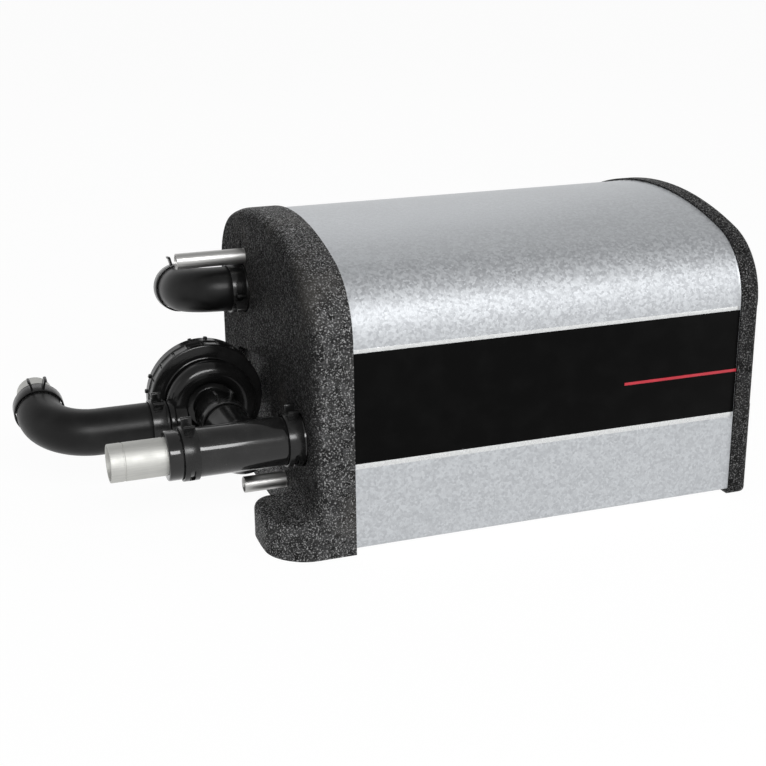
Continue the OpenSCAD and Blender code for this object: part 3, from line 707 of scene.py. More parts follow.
def spare_object(bm: BMesh) -> Object:
    """Throwaway object that holds a mesh, which is used up."""
    mesh = bpy.data.meshes.new("spare")
    bm.to_mesh(mesh)
    bm.free()
    made = bpy.data.objects.new("spare", mesh)
    bpy.context.scene.collection.objects.link(made)
    return made


def evaluated(obj: Object) -> BMesh:
    """Mesh of a throwaway object with its modifiers, without the object."""
    result = bmesh.new()
    graph = bpy.context.evaluated_depsgraph_get()
    result.from_mesh(obj.evaluated_get(graph).to_mesh())
    bpy.data.meshes.remove(obj.data)
    return result


def carve(base: BMesh, steps: Iterable[tuple[Cut, BMesh]]) -> BMesh:
    """Adds closed meshes to a closed mesh, or cuts them out of it.

    Args:
        base: Mesh to work on, which is used up.
        steps: What is done, in order, with meshes that are used up.

    Returns:
        The carved mesh.
    """
    target = spare_object(base)
    tools = []
    for how, bm in steps:
        tool = spare_object(bm)
        tool.hide_render = True
        tools.append(tool)
        modifier = target.modifiers.new("carve", "BOOLEAN")
        modifier.operation = how.value
        modifier.solver = "EXACT"
        modifier.object = tool
    result = evaluated(target)
    for tool in tools:
        bpy.data.meshes.remove(tool.data)
    weld(result)
    return result


def even_skin(parts: Iterable[BMesh], size: float) -> BMesh:
    """One closed skin of even faces around overlapping parts.

    Args:
        parts: Closed meshes, which are used up.
        size: Size of a face in millimetres.

    Returns:
        The skin.
    """
    target = spare_object(merged(parts))
    modifier = target.modifiers.new("skin", "REMESH")
    modifier.mode = "VOXEL"
    modifier.voxel_size = size
    return evaluated(target)


def settle(
    bm: BMesh, form: Callable[[np.ndarray], np.ndarray], rounds: int = 8, reach: float = 6.0,
    step: float = 0.02, least: float = 0.05,
) -> None:
    """Moves the vertices onto the skin of a form.

    Args:
        bm: Mesh that lies near the form.
        form: Gives each point's distance outside the form.
        rounds: Number of moves towards the skin.
        reach: Vertices deeper inside than this stay where they are.
        step: Distance over which the form's slope is measured.
        least: Least square of a slope that is counted on.
    """
    points = np.array([vert.co for vert in bm.verts])
    near = form(points) > -reach
    for _ in range(rounds):
        value = np.where(near, form(points), 0.0)
        rises = [form(points + step * side) - form(points - step * side) for side in np.eye(3)]
        slope = np.stack(rises, axis=1) / (2 * step)
        steep = np.maximum((slope**2).sum(axis=1), least)
        points -= (value / steep)[:, None] * slope
    for vert, point in zip(bm.verts, points):
        vert.co = point


def rounded_meet(first: np.ndarray, second: np.ndarray, radius: float | np.ndarray) -> np.ndarray:
    """Distance to where two forms meet, with a rounded outer edge."""
    one, two = first + radius, second + radius
    return np.minimum(np.maximum(one, two), 0) + np.hypot(np.maximum(one, 0), np.maximum(two, 0)) - radius


def blended(first: np.ndarray, second: np.ndarray, width: float) -> np.ndarray:
    """Distance to two forms joined with a smooth hollow corner."""
    share = np.maximum(width - np.abs(first - second), 0) / width
    return np.minimum(first, second) - share**2 * width / 4


def finish_piece(name: str, bm: BMesh, finish: Finish, *nodes: str, smooth: float = 0.6) -> Object:
    """Turns a mesh in millimetres into a dressed piece of the object.

    Args:
        name: Name of the piece.
        bm: Closed mesh, which is used up.
        finish: Finish of its surface.
        nodes: Nodes that it stands for.
        smooth: Edges that turn by less than this are shaded smooth, in radians.

    Returns:
        The piece.
    """
    tidy(bm)
    bmesh.ops.scale(bm, vec=(MM, MM, MM), verts=bm.verts[:])
    mesh = bpy.data.meshes.new(name)
    bm.to_mesh(mesh)
    bm.free()
    mesh.shade_smooth()
    mesh.set_sharp_from_angle(angle=smooth)
    mesh.materials.append(finish.material())
    piece = bpy.data.objects.new(name, mesh)
    bpy.context.scene.collection.objects.link(piece)
    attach(piece, UNIT)
    if nodes:
        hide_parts(*nodes)
    LOG.info("%s: %d faces", name, len(mesh.polygons))
    return piece


@dataclass(frozen=True)
class Arch:
    """Outline of the casing across X: straight sides, round shoulders and a shallow dome."""

    half_w: float
    top_z: float
    base_z: float = 3.0
    sheet_t: float = 0.8
    shoulder_r: float = 43.0
    dome_rise: float = 11.0
    corner_steps: int = 5
    shoulder_steps: int = 20
    dome_steps: int = 24

    @classmethod
    def from_frame(cls) -> "Arch":
        """Outline of the sheet in the frame."""
        sheet = Box.of("casing_sheet")
        return cls(sheet.high.y, sheet.high.z)

    @property
    def shoulder_y(self) -> float:
        """Distance of the shoulders' centres from the middle."""
        return self.half_w - self.shoulder_r

    @property
    def shoulder_z(self) -> float:
        """Height of the shoulders' centres."""
        return self.top_z - self.dome_rise - self.shoulder_r

    @property
    def dome_r(self) -> float:
        """Radius of the dome."""
        reach = self.shoulder_r + self.dome_rise
        return (self.shoulder_y**2 + reach**2 - self.shoulder_r**2) / (2 * self.dome_rise)

    @property
    def lean(self) -> float:
        """Half the angle of the dome."""
        return math.asin(self.shoulder_y / (self.dome_r - self.shoulder_r))

    def over(self, pen: Pen, x: float, low: float, corner: float) -> Pen:
        """Draws from the lower corner of one side, over the top, to the lower corner of the other.

        Args:
            pen: Pen on the base, a corner radius before the far side.
            x: Station of the outline.
            low: Height of its base.
            corner: Radius of its lower corners.

        Returns:
            The pen, on the base again.
        """
        half = pen.tip.co.y + corner
        pen.arc((x, half - corner, low + corner), QUARTER, self.corner_steps)
        pen.run((x, half, self.shoulder_z))
        pen.arc((x, self.shoulder_y, self.shoulder_z), QUARTER - self.lean, self.shoulder_steps)
        pen.arc((x, 0.0, self.top_z - self.dome_r), 2 * self.lean, self.dome_steps)
        pen.arc((x, -self.shoulder_y, self.shoulder_z), QUARTER - self.lean, self.shoulder_steps)
        pen.run((x, -half, low + corner))
        return pen.arc((x, corner - half, low + corner), QUARTER, self.corner_steps)

    def loop(self, bm: BMesh, x: float, grow: float, low: float, corner: float) -> list[BMEdge]:
        """Closed outline at one station.

        Args:
            bm: Mesh that takes it.
            x: Station.
            grow: How far it lies outside the sheet.
            low: Height of its base.
            corner: Radius of its lower corners.

        Returns:
            Its edges.
        """
        pen = Pen(bm, (x, self.half_w + grow - corner, low), Axis.X)
        self.over(pen, x, low, corner)
        return pen.close()

    def outside(self, y: np.ndarray, z: np.ndarray) -> np.ndarray:
        """Distance of points outside the outline's sides and top."""
        side = np.abs(y)
        dome_z = self.top_z - self.dome_r
        straight = side - self.half_w
        shoulder = np.hypot(side - self.shoulder_y, z - self.shoulder_z) - self.shoulder_r
        dome = np.hypot(side, z - dome_z) - self.dome_r
        on_dome = np.arctan2(side, z - dome_z) < self.lean
        return np.where(z < self.shoulder_z, straight, np.where(on_dome, dome, shoulder))


@dataclass
class FoamCaps:
    """The two moulded foam caps, whose plugs fill the sheet round the vessel."""

    arch: Arch
    pump: Vector
    front: Box = box_of("front_cap")
    rear: Box = box_of("rear_cap")
    sheet: Box = box_of("casing_sheet")
    vessel_front: Box = box_of("vessel_front_plate")
    vessel_rear: Box = box_of("vessel_rear_plate")
    proud: float = 1.5
    front_depth: float = 24.0
    front_edge: float = 8.0
    rear_edge: float = 6.0
    edge_steps: int = 7
    rim_corner: float = 3.0
    plug_corner: float = 2.0
    plug_wall: float = 13.0
    hollow_corner: float = 12.0
    overlap: float = 4.0
    foot_back: float = 40.0
    foot_w: float = 58.0
    foot_h: float = 22.0
    foot_near_r: float = 24.0
    foot_far_r: float = 11.0
    foot_bulge: float = 2.0
    bulge_y: float = 5.0
    foot_edge: float = 5.0
    foot_blend: float = 10.0
    skin: float = 1.7
    bore_steps: int = 48
    mouth_r: float = 16.55
    mouth_depth: float = 5.0
    pocket_s: Span = (-46.0, 36.5)
    pocket_up: float = 33.0
    pocket_fall: float = 14.0
    pocket_down: float = 30.5
    pocket_rise: float = 16.5
    pocket_depth: float = 5.1
    pocket_corner: float = 8.0
    pocket_steps: int = 8
    band_z: Span = (59.0, 124.0)
    band_depth: float = 2.2
    band_edge: float = 1.2
    channel_w: float = 8.4
    channel_top: float = 7.3

    @property
    def rim_x(self) -> float:
        """Station of the front cap's rim, where the sheet starts."""
        return self.sheet.low.x - FIT

    @property
    def face_x(self) -> float:
        """Station of the front face."""
        return self.rim_x - self.front_depth

    def front_form(self, points: np.ndarray) -> np.ndarray:
        """Distance of points outside the front cap's rim and foot.

        Args:
            points: Points, one in each row.

        Returns:
            Their distances.
        """
        x, y, z = points.T
        face = self.face_x - x
        rim = rounded_meet(self.arch.outside(y, z) - self.proud, face, self.front_edge)
        near = self.front.low.y
        half = np.array([(self.foot_back - self.front.low.x) / 2, self.foot_w / 2])
        middle = np.array([self.front.low.x + half[0], near + half[1]])
        away = (y - middle[1] - self.bulge_y) / half[1]
        bulge = self.foot_bulge * np.maximum(1 - away**2, 0)
        from_middle = np.stack([x + bulge, y], axis=1) - middle
        corner = np.where(from_middle[:, 1] < 0, self.foot_near_r, self.foot_far_r)
        corner = np.where(from_middle[:, 0] < 0, corner, 0.0)
        past = np.abs(from_middle) - half + corner[:, None]
        plan = np.minimum(past.max(axis=1), 0) + np.linalg.norm(np.maximum(past, 0), axis=1) - corner
        above = blended(face, z - self.foot_h, self.foot_blend)
        rise = np.clip((z - self.foot_h) / self.foot_blend, 0, 1)
        edge = self.foot_edge + (self.front_edge - self.foot_edge) * rise
        foot = rounded_meet(above, plan, edge)
        return np.minimum(rim, np.maximum(foot, z - 2 * self.foot_h))

    def rim_and_foot(self) -> BMesh:
        """Solid front cap without its plug, with its foot blended into the face."""
        bm = bmesh.new()
        low, ends = -self.overlap, (self.face_x, self.rim_x + self.overlap)
        closed(bm, [self.arch.loop(bm, x, self.proud, low, self.rim_corner) for x in ends])
        near, tip = self.front.low.y, self.front.low.x
        foot = block((tip, near, low), (self.rim_x, near + self.foot_w, self.foot_h + self.foot_blend / 2))
        skin = even_skin([carve(bm, [(Cut.ADD, foot)])], self.skin)
        settle(skin, self.front_form)
        for point, normal in (((0, 0, 0), (0, 0, -1)), ((self.rim_x, 0, 0), (1, 0, 0))):
            whole = [*skin.verts, *skin.edges, *skin.faces]
            cut = bmesh.ops.bisect_plane(
                skin, geom=whole, dist=ON_PLANE, plane_co=point, plane_no=normal, clear_outer=True,
            )
            cap(skin, [item for item in cut["geom_cut"] if isinstance(item, BMEdge)])
        tidy(skin)
        return skin

    def hollow_plug(self, x0: float, x1: float, hollow_x: float) -> BMesh:
        """Foam that fills the sheet, open towards the vessel.

        Args:
            x0: Station of the closed end.
            x1: Station of the open end.
            hollow_x: Station of the hollow's end wall.

        Returns:
            The plug.
        """
        bm = bmesh.new()
        inset = self.arch.sheet_t + SEAT
        deep = self.plug_wall + inset - SEAT
        plug, hollow = (inset, self.plug_corner), (deep, self.hollow_corner)
        stations = [(x0, *plug), (x1, *plug), (x1, *hollow), (hollow_x, *hollow)]
        base = self.arch.base_z
        return closed(bm, [self.arch.loop(bm, x, -size, base + size, corner) for x, size, corner in stations])

    def rivet_channel(self) -> BMesh:
        """Cutter for the room above the seam's rivets."""
        half = self.channel_w / 2
        low = (self.rim_x, -half, self.arch.base_z)
        return block(low, (self.sheet.high.x + FIT, half, self.channel_top))

    def bore(self, radius: float, y: float, z: float, depth: float) -> BMesh:
        """Cutter for a round hole into the front face."""
        place = along((self.face_x, y, z), Axis.X.vector, Axis.Z.vector)
        return placed(rod(radius, -2 * PAST, depth, self.bore_steps), place)

    def pump_pocket(self) -> BMesh:
        """Cutter for the shallow pocket that the pump's ring stands in, narrower at both its ends."""
        back, near = (self.pump.y - s for s in self.pocket_s)
        low, high = self.pump.z - self.pocket_down, self.pump.z + self.pocket_up
        bm = block((self.face_x - 2 * PAST, near, low), (self.face_x + self.pocket_depth, back, high))
        top = [vert for vert in bm.verts if vert.co.y > self.pump.y and vert.co.z > self.pump.z]
        bmesh.ops.translate(bm, verts=top, vec=(0, 0, -self.pocket_fall))
        bottom = [vert for vert in bm.verts if vert.co.y < self.pump.y and vert.co.z < self.pump.z]
        bmesh.ops.translate(bm, verts=bottom, vec=(0, 0, self.pocket_rise))
        corners = [e for e in bm.edges if abs(e.verts[0].co.x - e.verts[1].co.x) > self.pocket_depth / 2]
        round_off(bm, corners, self.pocket_corner, self.pocket_steps)
        return bm

    def build_front(self) -> Object:
        """Front cap with its foot, its holes and the pocket beside the pump."""
        hollow_x = self.vessel_front.low.x - SEAT
        wall = hollow_x - self.face_x
        steps = [
            (Cut.ADD, self.hollow_plug(self.rim_x - self.overlap, self.front.high.x, hollow_x)),
            (Cut.REMOVE, self.rivet_channel()),
        ]
        for node in ("return_spigot", "flow_spigot", "cold_tube", "hot_tube", "temperature_sensor"):
            pipe = Box.of(node)
            middle = pipe.mid.y, pipe.mid.z
            if node.endswith("spigot"):
                steps.append((Cut.REMOVE, self.bore(self.mouth_r, *middle, self.mouth_depth)))
            steps.append((Cut.REMOVE, self.bore(pipe.half_h + SEAT, *middle, wall + PAST)))
        steps.append((Cut.REMOVE, self.pump_pocket()))
        bm = carve(self.rim_and_foot(), steps)
        return finish_piece("front_cap_foam", bm, FOAM, "front_cap", smooth=0.7)

    def build_rear(self) -> Object:
        """Rear cap with the shallow band across its face."""
        bm = bmesh.new()
        back_x = self.sheet.high.x + FIT
        face_x = self.rear.high.x
        loops = [self.arch.loop(bm, back_x, self.proud, 0.0, self.rim_corner)]
        for step in range(self.edge_steps + 1):
            turn = QUARTER * step / self.edge_steps
            x = face_x - self.rear_edge * (1 - math.sin(turn))
            grow = self.proud - self.rear_edge * (1 - math.cos(turn))
            loops.append(self.arch.loop(bm, x, grow, 0.0, self.rim_corner))
        closed(bm, loops)
        plug = self.hollow_plug(back_x + self.overlap, self.rear.low.x, self.vessel_rear.high.x + SEAT)
        reach = 2 * self.arch.half_w
        low, high = self.band_z
        band = block((face_x - self.band_depth, -reach, low), (face_x + 2 * PAST, reach, high))
        soften(band, self.band_edge, 3)
        bm = carve(bm, [(Cut.REMOVE, band), (Cut.ADD, plug), (Cut.REMOVE, self.rivet_channel())])
        # The rear cap gets the darker copy of the foam: painted shade
        return finish_piece("rear_cap_foam", bm, SHADED_REAR_FOAM, "rear_cap", smooth=0.7)


@dataclass
class Casing:
    """Galvanised sheet with its lapped seam, its rivets and the film along the near side."""

    arch: Arch
    sheet: Box = box_of("casing_sheet")
    label: Box = box_of("side_label")
    stripe: Box = box_of("label_stripe")
    rivets: Box = box_of("seam_rivets")
    corner: float = 2.0
    lap: float = 22.0
    flare: float = 0.3
    flare_l: float = 1.6
    margin: Span = (2.4, 3.2)
    margin_t: float = 0.12
    label_edge: float = 0.08
    stripe_edge: float = 0.05
    margin_edge: float = 0.04
    rivet_d: float = 3.2
    rivet_dome: float = 0.9
    rivet_tail: float = 1.6
    rivet_count: int = 5

    def section(self, bm: BMesh, x: float, grow: float) -> list[BMEdge]:
        """Outside of the folded sheet at one station, from one edge of the seam to the other."""
        half, base = self.lap / 2, self.arch.base_z
        fold = half + self.arch.sheet_t
        pen = Pen(bm, (x, -half, self.sheet.low.z), Axis.X)
        pen.run((x, fold, self.sheet.low.z)).run((x, fold, base))
        pen.run((x, self.arch.half_w + grow - self.corner, base))
        self.arch.over(pen, x, base, self.corner).run((x, half - FIT, base))
        return pen.edges()

    def build_sheet(self) -> Object:
        """Sheet wrapped over both caps, its ends flared a little."""
        bm = bmesh.new()
        low, high = self.sheet.low.x, self.sheet.high.x
        stations = [
            (low, self.flare), (low + self.flare_l / 2, self.flare / 3), (low + self.flare_l, 0.0),
            (high - self.flare_l, 0.0), (high - self.flare_l / 2, self.flare / 3), (high, self.flare),
        ]
        bridge(bm, [self.section(bm, x, grow) for x, grow in stations])
        face_out(bm)
        top = max(bm.faces, key=lambda face: face.calc_center_median().z)
        side = 1 if top.normal.z > 0 else -1
        bmesh.ops.solidify(bm, geom=bm.faces[:], thickness=side * self.arch.sheet_t)
        return finish_piece("casing_sheet_zinc", bm, ZINC, "casing_sheet", smooth=0.5)

    def film(self, low: Point, high: Point, edge: float) -> BMesh:
        """Thin film between two corners, with rounded edges."""
        bm = block(low, high)
        soften(bm, edge, 2)
        return bm

    def build_label(self) -> list[Object]:
        """Black film along the near side, its clear margins and its stripe."""
        low, high = self.label.low, self.label.high
        back = high.y
        film = self.film(low, high, self.label_edge)
        stripe = self.film(self.stripe.low, self.stripe.high, self.stripe_edge)
        pieces = [
            finish_piece("label_black_film", film, LABEL_BLACK, "side_label"),
            finish_piece("label_stripe_film", stripe, STRIPE_RED, "label_stripe"),
        ]
        upper, lower = self.margin
        for name, edge, width in (("upper", high.z, upper), ("lower", low.z - lower, lower)):
            corner = (low.x, back - self.margin_t, edge)
            film = self.film(corner, (high.x, back, edge + width), self.margin_edge)
            pieces.append(finish_piece(f"label_{name}_margin", film, LABEL_CLEAR))
        return pieces

    def build_rivets(self) -> Object:
        """Domed rivets of the seam under the base."""
        parts = []
        length = self.sheet.high.x - self.sheet.low.x + 2 * FIT
        shank, head = self.rivet_d / 2, self.rivet_d
        low, high = self.rivets.low.z, self.rivets.high.z
        dome, tail = low + self.rivet_dome, high - self.rivet_tail
        profile = [
            (0.0, low), (0.55 * head, low), (0.9 * head, low + 0.35), (head, dome), (shank, dome),
            (shank, tail), (1.5 * shank, tail), (1.4 * shank, high - 0.4), (0.8 * shank, high), (0.0, high),
        ]
        for index in range(self.rivet_count):
            x = self.sheet.low.x - FIT + length * (index + 0.5) / self.rivet_count
            parts.append(placed(lathe(profile, 24), Matrix.Translation((x, 0.0, 0.0))))
        return finish_piece("seam_rivet_set", merged(parts), RIVET_STEEL, "seam_rivets")


@dataclass(frozen=True)
class BentPath:
    """Middle line of a moulded hose: a straight start along -X, one right angle and a leg."""

    start: Point
    straight: float
    bend: float
    leg: float
    roll: float

    @property
    def length(self) -> float:
        """Length of the whole line."""
        return self.straight + QUARTER * self.bend + self.leg

    def at(self, s: float) -> Matrix:
        """Frame at a distance along the line, with local Z along it."""
        turn = min(max(s - self.straight, 0.0) / self.bend, QUARTER)
        past = max(s - self.straight - QUARTER * self.bend, 0.0)
        x = -min(s, self.straight) - self.bend * math.sin(turn)
        y = self.bend * (1 - math.cos(turn)) + past
        heading = Vector((-math.cos(turn), math.sin(turn), 0.0))
        rolled = Matrix.Translation(self.start) @ Matrix.Rotation(self.roll, 4, "X")
        return rolled @ along((x, y, 0.0), heading, Axis.Z.vector)


def ring_edges(bm: BMesh, place: Matrix, radius: float, segments: int = 56) -> list[BMEdge]:
    """Circle across a frame's local Z, as its edges."""
    made = bmesh.ops.create_circle(bm, cap_ends=False, segments=segments, radius=radius, matrix=place)
    return list({edge for vert in made["verts"] for edge in vert.link_edges})


@dataclass
class HoseClamp:
    """Sprung band clamp: a slotted band with two tangs that stand up and fold over."""

    node: str
    place: Matrix
    hose_r: float
    slot_at: float
    band_w: float = 9.0
    band_t: float = 1.2
    band_edge: float = 0.28
    tang_angle: float = math.radians(13)
    tang_l: float = 7.0
    tang_w: float = 6.0
    tang_t: float = 1.2
    tang_tip: float = 2.4
    tang_fold: float = 0.9
    tang_edge: float = 0.25
    slot_w: float = 3.0
    slot_turn: float = math.radians(50)
    slot_steps: int = 14
    slot_least: float = 0.06

    @property
    def inner_r(self) -> float:
        """Radius of the inside of the band."""
        return self.hose_r + FIT

    def band(self) -> BMesh:
        """Band with rounded edges."""
        half, outer = self.band_w / 2, self.inner_r + self.band_t
        bm = lathe([(self.inner_r, -half), (outer, -half), (outer, half), (self.inner_r, half)], 72)
        soften(bm, self.band_edge)
        return bm

    def slot(self) -> BMesh:
        """Cutter for the long slot with round ends, bent along the band."""
        bm = bmesh.new()
        low, high = self.inner_r - PAST, self.inner_r + self.band_t + PAST
        half = self.slot_w / 2
        end_turn = half / self.inner_r
        loops = []
        for index in range(self.slot_steps + 1):
            share = 2 * index / self.slot_steps - 1
            turn = self.slot_at + share * self.slot_turn / 2
            from_end = (1 - abs(share)) * self.slot_turn / 2 / end_turn
            width = half * math.sqrt(max(1 - max(1 - from_end, 0) ** 2, self.slot_least))
            pen = Pen(bm, (0.0, low, -width), Axis.Z)
            edges = pen.run((0.0, high, -width)).run((0.0, high, width)).run((0.0, low, width)).close()
            verts = list({vert for edge in edges for vert in edge.verts})
            bmesh.ops.rotate(bm, verts=verts, cent=(0, 0, 0), matrix=Matrix.Rotation(turn, 3, "Z"))
            loops.append(edges)
        return closed(bm, loops)

    def tang(self, side: int) -> BMesh:
        """One end of the band, bent outwards with its tip folded over."""
        bm = bmesh.new()
        root = self.inner_r + self.band_t / 2
        tip = root + self.tang_l - self.tang_t / 2
        edge, fold = -self.tang_w / 2, self.tang_fold
        pen = Pen(bm, (0.0, root, edge), Axis.Z).run((0.0, tip - fold, edge))
        pen.arc((-side * fold, tip - fold, edge), side * QUARTER, 4)
        pen.run((-side * (self.tang_tip - self.tang_t / 2), tip, edge))
        made = bmesh.ops.extrude_edge_only(bm, edges=pen.edges())["geom"]
        verts = [item for item in made if isinstance(item, BMVert)]
        bmesh.ops.translate(bm, verts=verts, vec=(0, 0, self.tang_w))
        face_out(bm)
        bmesh.ops.solidify(bm, geom=bm.faces[:], thickness=self.tang_t)
        middle = sum((vert.co.x for vert in bm.verts if vert.co.y < root + 0.1), 0.0) / 4
        bmesh.ops.translate(bm, verts=bm.verts[:], vec=(-middle, 0, 0))
        tidy(bm)
        soften(bm, self.tang_edge)
        return placed(bm, Matrix.Rotation(side * self.tang_angle, 4, "Z"))

    def build(self) -> Object:
        """Whole clamp at its place."""
        band = carve(self.band(), [(Cut.REMOVE, self.slot())])
        whole = placed(merged([band, self.tang(-1), self.tang(1)]), self.place)
        return finish_piece(f"{self.node}_band", whole, CLAMP_STEEL, self.node, smooth=0.5)


@dataclass
class Pipework:
    """Hoses, pipe stubs and water tubes at the front, with their clamps."""

    pump: Vector
    face_x: float
    tee: Box = box_of("return_tee_hose")
    return_pipe: Box = box_of("return_pipe")
    spigot: Box = box_of("flow_spigot")
    pipe_wall: float = 1.2
    tube_wall: float = 0.8
    hose_r: float = 14.35
    branch_r: float = 13.85
    socket_r: float = 11.15
    waterway_r: float = 9.5
    branch_bore: float = 9.0
    grip: float = 26.0
    inlet_grip: float = 32.15
    tee_blend: float = 5.0
    tee_lip: float = 1.0
    tee_skin: float = 0.9
    tee_spare: float = 0.4
    clamp_back: float = 8.5
    clamp_w: float = HoseClamp.band_w
    pinch: float = 0.35
    pinch_fade: float = 1.6
    lip: float = 0.8
    hose_edge: float = 1.0
    hose_steps: int = 90
    mark_w: float = 1.0
    mark_depth: float = 0.3
    mark_off: float = 0.2
    mark_back: float = 8.5
    # Straight start, radius of the bend, leg and roll of each bent hose
    flow_form: tuple[float, ...] = (14.0, 24.0, 22.0, math.radians(-9))
    outlet_form: tuple[float, ...] = (42.5, 31.0, 16.0, math.radians(9))
    flow_grip: float = 21.0
    flow_out: float = 20.0
    outlet_grip: float = 15.0
    outlet_out: float = 15.0
    outlet_from_axis: float = 29.5
    inlet_clamp_back: float = 23.0
    outlet_clamp_back: float = 6.5
    front_slot: float = math.radians(122)
    low_slot: float = math.radians(-20)

    @property
    def mouth_x(self) -> float:
        """Station of the hose ends in the cap's mouths."""
        return self.tee.high.x

    @property
    def run(self) -> Span:
        """Y and Z of the tee's straight run."""
        return (self.return_pipe.mid.y, self.return_pipe.mid.z)

    @property
    def tee_clamp_x(self) -> float:
        """Station of the clamp on the return pipe."""
        return self.tee.low.x + self.clamp_back + self.clamp_w / 2

    def flow_path(self) -> BentPath:
        """Middle line of the upper hose."""
        start = (self.mouth_x, self.spigot.mid.y, self.spigot.mid.z)
        return BentPath(start, *self.flow_form)

    def outlet_path(self) -> BentPath:
        """Middle line of the pump's outlet hose."""
        start = (self.pump.x - self.outlet_from_axis, self.pump.y - OUTLET_S, self.pump.z - OUTLET_DROP)
        return BentPath(start, *self.outlet_form)

    def pinched(self, away: np.ndarray) -> np.ndarray:
        """How far a hose is pressed in, at distances from the middle of a clamp."""
        share = np.clip(1 - (away - self.clamp_w / 2) / self.pinch_fade, 0, 1)
        return self.pinch * share * share * (3 - 2 * share)

    def bent_hose(self, name: str, path: BentPath, first: float, node: str) -> Object:
        """Moulded hose with rounded lips, pressed in under its two clamps.

        Args:
            name: Name of the piece.
            path: Its middle line.
            first: Distance of the first clamp from the hose's start.
            node: Node that it stands for.

        Returns:
            The hose.
        """
        clamps = (first, path.length - self.clamp_back)
        lip_s = [0.0, 0.08, 0.3, 0.65]
        start = [self.lip * s for s in lip_s]
        length = path.length - 2 * self.hose_edge
        body = [self.hose_edge + length * index / self.hose_steps for index in range(self.hose_steps + 1)]
        end = [path.length - self.lip * s for s in reversed(lip_s)]
        bm = bmesh.new()
        outer, inner = [], []
        for s in (*start, *body, *end):
            near_end = max(1 - min(s, path.length - s) / self.lip, 0.0)
            rounding = self.lip * (1 - math.sqrt(1 - near_end**2))
            place = path.at(s)
            pinched = self.pinched(min(abs(s - clamp) for clamp in clamps))
            outer.append(ring_edges(bm, place, self.hose_r - pinched - rounding))
            inner.append(ring_edges(bm, place, self.socket_r + ROUND * rounding))
        for skin in (outer, inner, (outer[0], inner[0]), (outer[-1], inner[-1])):
            bridge(bm, skin)
        return finish_piece(name, bm, HOSE_RUBBER, node, smooth=0.8)

    def pipe(
        self, place: Matrix, start: float, end: float, radius: float, wall: float, marks: Sequence[float],
    ) -> BMesh:
        """Open pipe along a frame's local Z, with rounded rims and turned ring marks.

        Args:
            place: Frame of the pipe.
            start: Where it starts.
            end: Where it ends.
            radius: Its outer radius.
            wall: Its wall.
            marks: Where the ring marks start, in falling order.

        Returns:
            The pipe.
        """
        rim = 0.35 * wall
        part = ROUND * rim
        bore = radius - wall
        profile = [
            (bore, start), (bore, end - rim), (bore + part, end - part), (bore + rim, end),
            (radius - rim, end), (radius - part, end - part), (radius, end - rim),
        ]
        for mark in marks:
            slope = self.mark_depth / 2
            profile += [
                (radius, mark + self.mark_w), (radius - self.mark_depth, mark + self.mark_w - slope),
                (radius - self.mark_depth, mark + slope), (radius, mark),
            ]
        profile.append((radius, start))
        return placed(lathe(profile, 64), place)

    def build_pipes(self) -> None:
        """The three pipe stubs and the two water tubes."""
        radius = self.return_pipe.high.z - self.return_pipe.mid.z
        forward, up = -Axis.X.vector, Axis.Z.vector
        tip = self.tee.low.x - self.return_pipe.low.x
        place = along((self.tee.low.x, *self.run), forward, up)
        marks = (tip - self.mark_back, self.mark_off)
        bm = self.pipe(place, -self.grip, tip, radius, self.pipe_wall, marks)
        finish_piece("return_pipe_stub", bm, PIPE_ALLOY, "return_pipe", smooth=0.5)
        for name, path, grip, out in (
            ("flow_pipe", self.flow_path(), self.flow_grip, self.flow_out),
            ("outlet_pipe", self.outlet_path(), self.outlet_grip, self.outlet_out),
        ):
            bm = self.pipe(path.at(path.length), -grip, out, radius, self.pipe_wall, (self.mark_off,))
            finish_piece(f"{name}_stub", bm, PIPE_ALLOY, name, smooth=0.5)
        for name in ("cold_tube", "hot_tube"):
            tube = Box.of(name)
            place = along((self.face_x, tube.mid.y, tube.mid.z), forward, up)
            ends = (self.face_x - tube.high.x, self.face_x - tube.low.x)
            bm = self.pipe(place, *ends, tube.high.z - tube.mid.z, self.tube_wall, (self.mark_off,))
            finish_piece(f"{name}_end", bm, STAINLESS, name, smooth=0.5)

    def tee_form(self, points: np.ndarray) -> np.ndarray:
        """Distance of points outside the tee."""
        x, y, z = points.T
        run_y, run_z = self.run
        clamps = (self.tee_clamp_x, self.tee.high.x - self.clamp_back)
        near = np.min([np.abs(x - place) for place in clamps], axis=0)
        run = np.hypot(y - run_y, z - run_z) - (self.hose_r - self.pinched(near))
        ends = np.abs(x - self.tee.mid.x) - (self.tee.high.x - self.tee.low.x) / 2
        run = rounded_meet(run, ends, self.tee_lip)
        collar = np.abs(y - (self.tee.high.y - self.inlet_clamp_back))
        branch = np.hypot(x - self.pump.x, z - self.pump.z) - (self.branch_r - self.pinched(collar))
        branch = rounded_meet(branch, np.maximum(y - self.tee.high.y, run_y - y), self.tee_lip)
        return blended(run, branch, self.tee_blend)

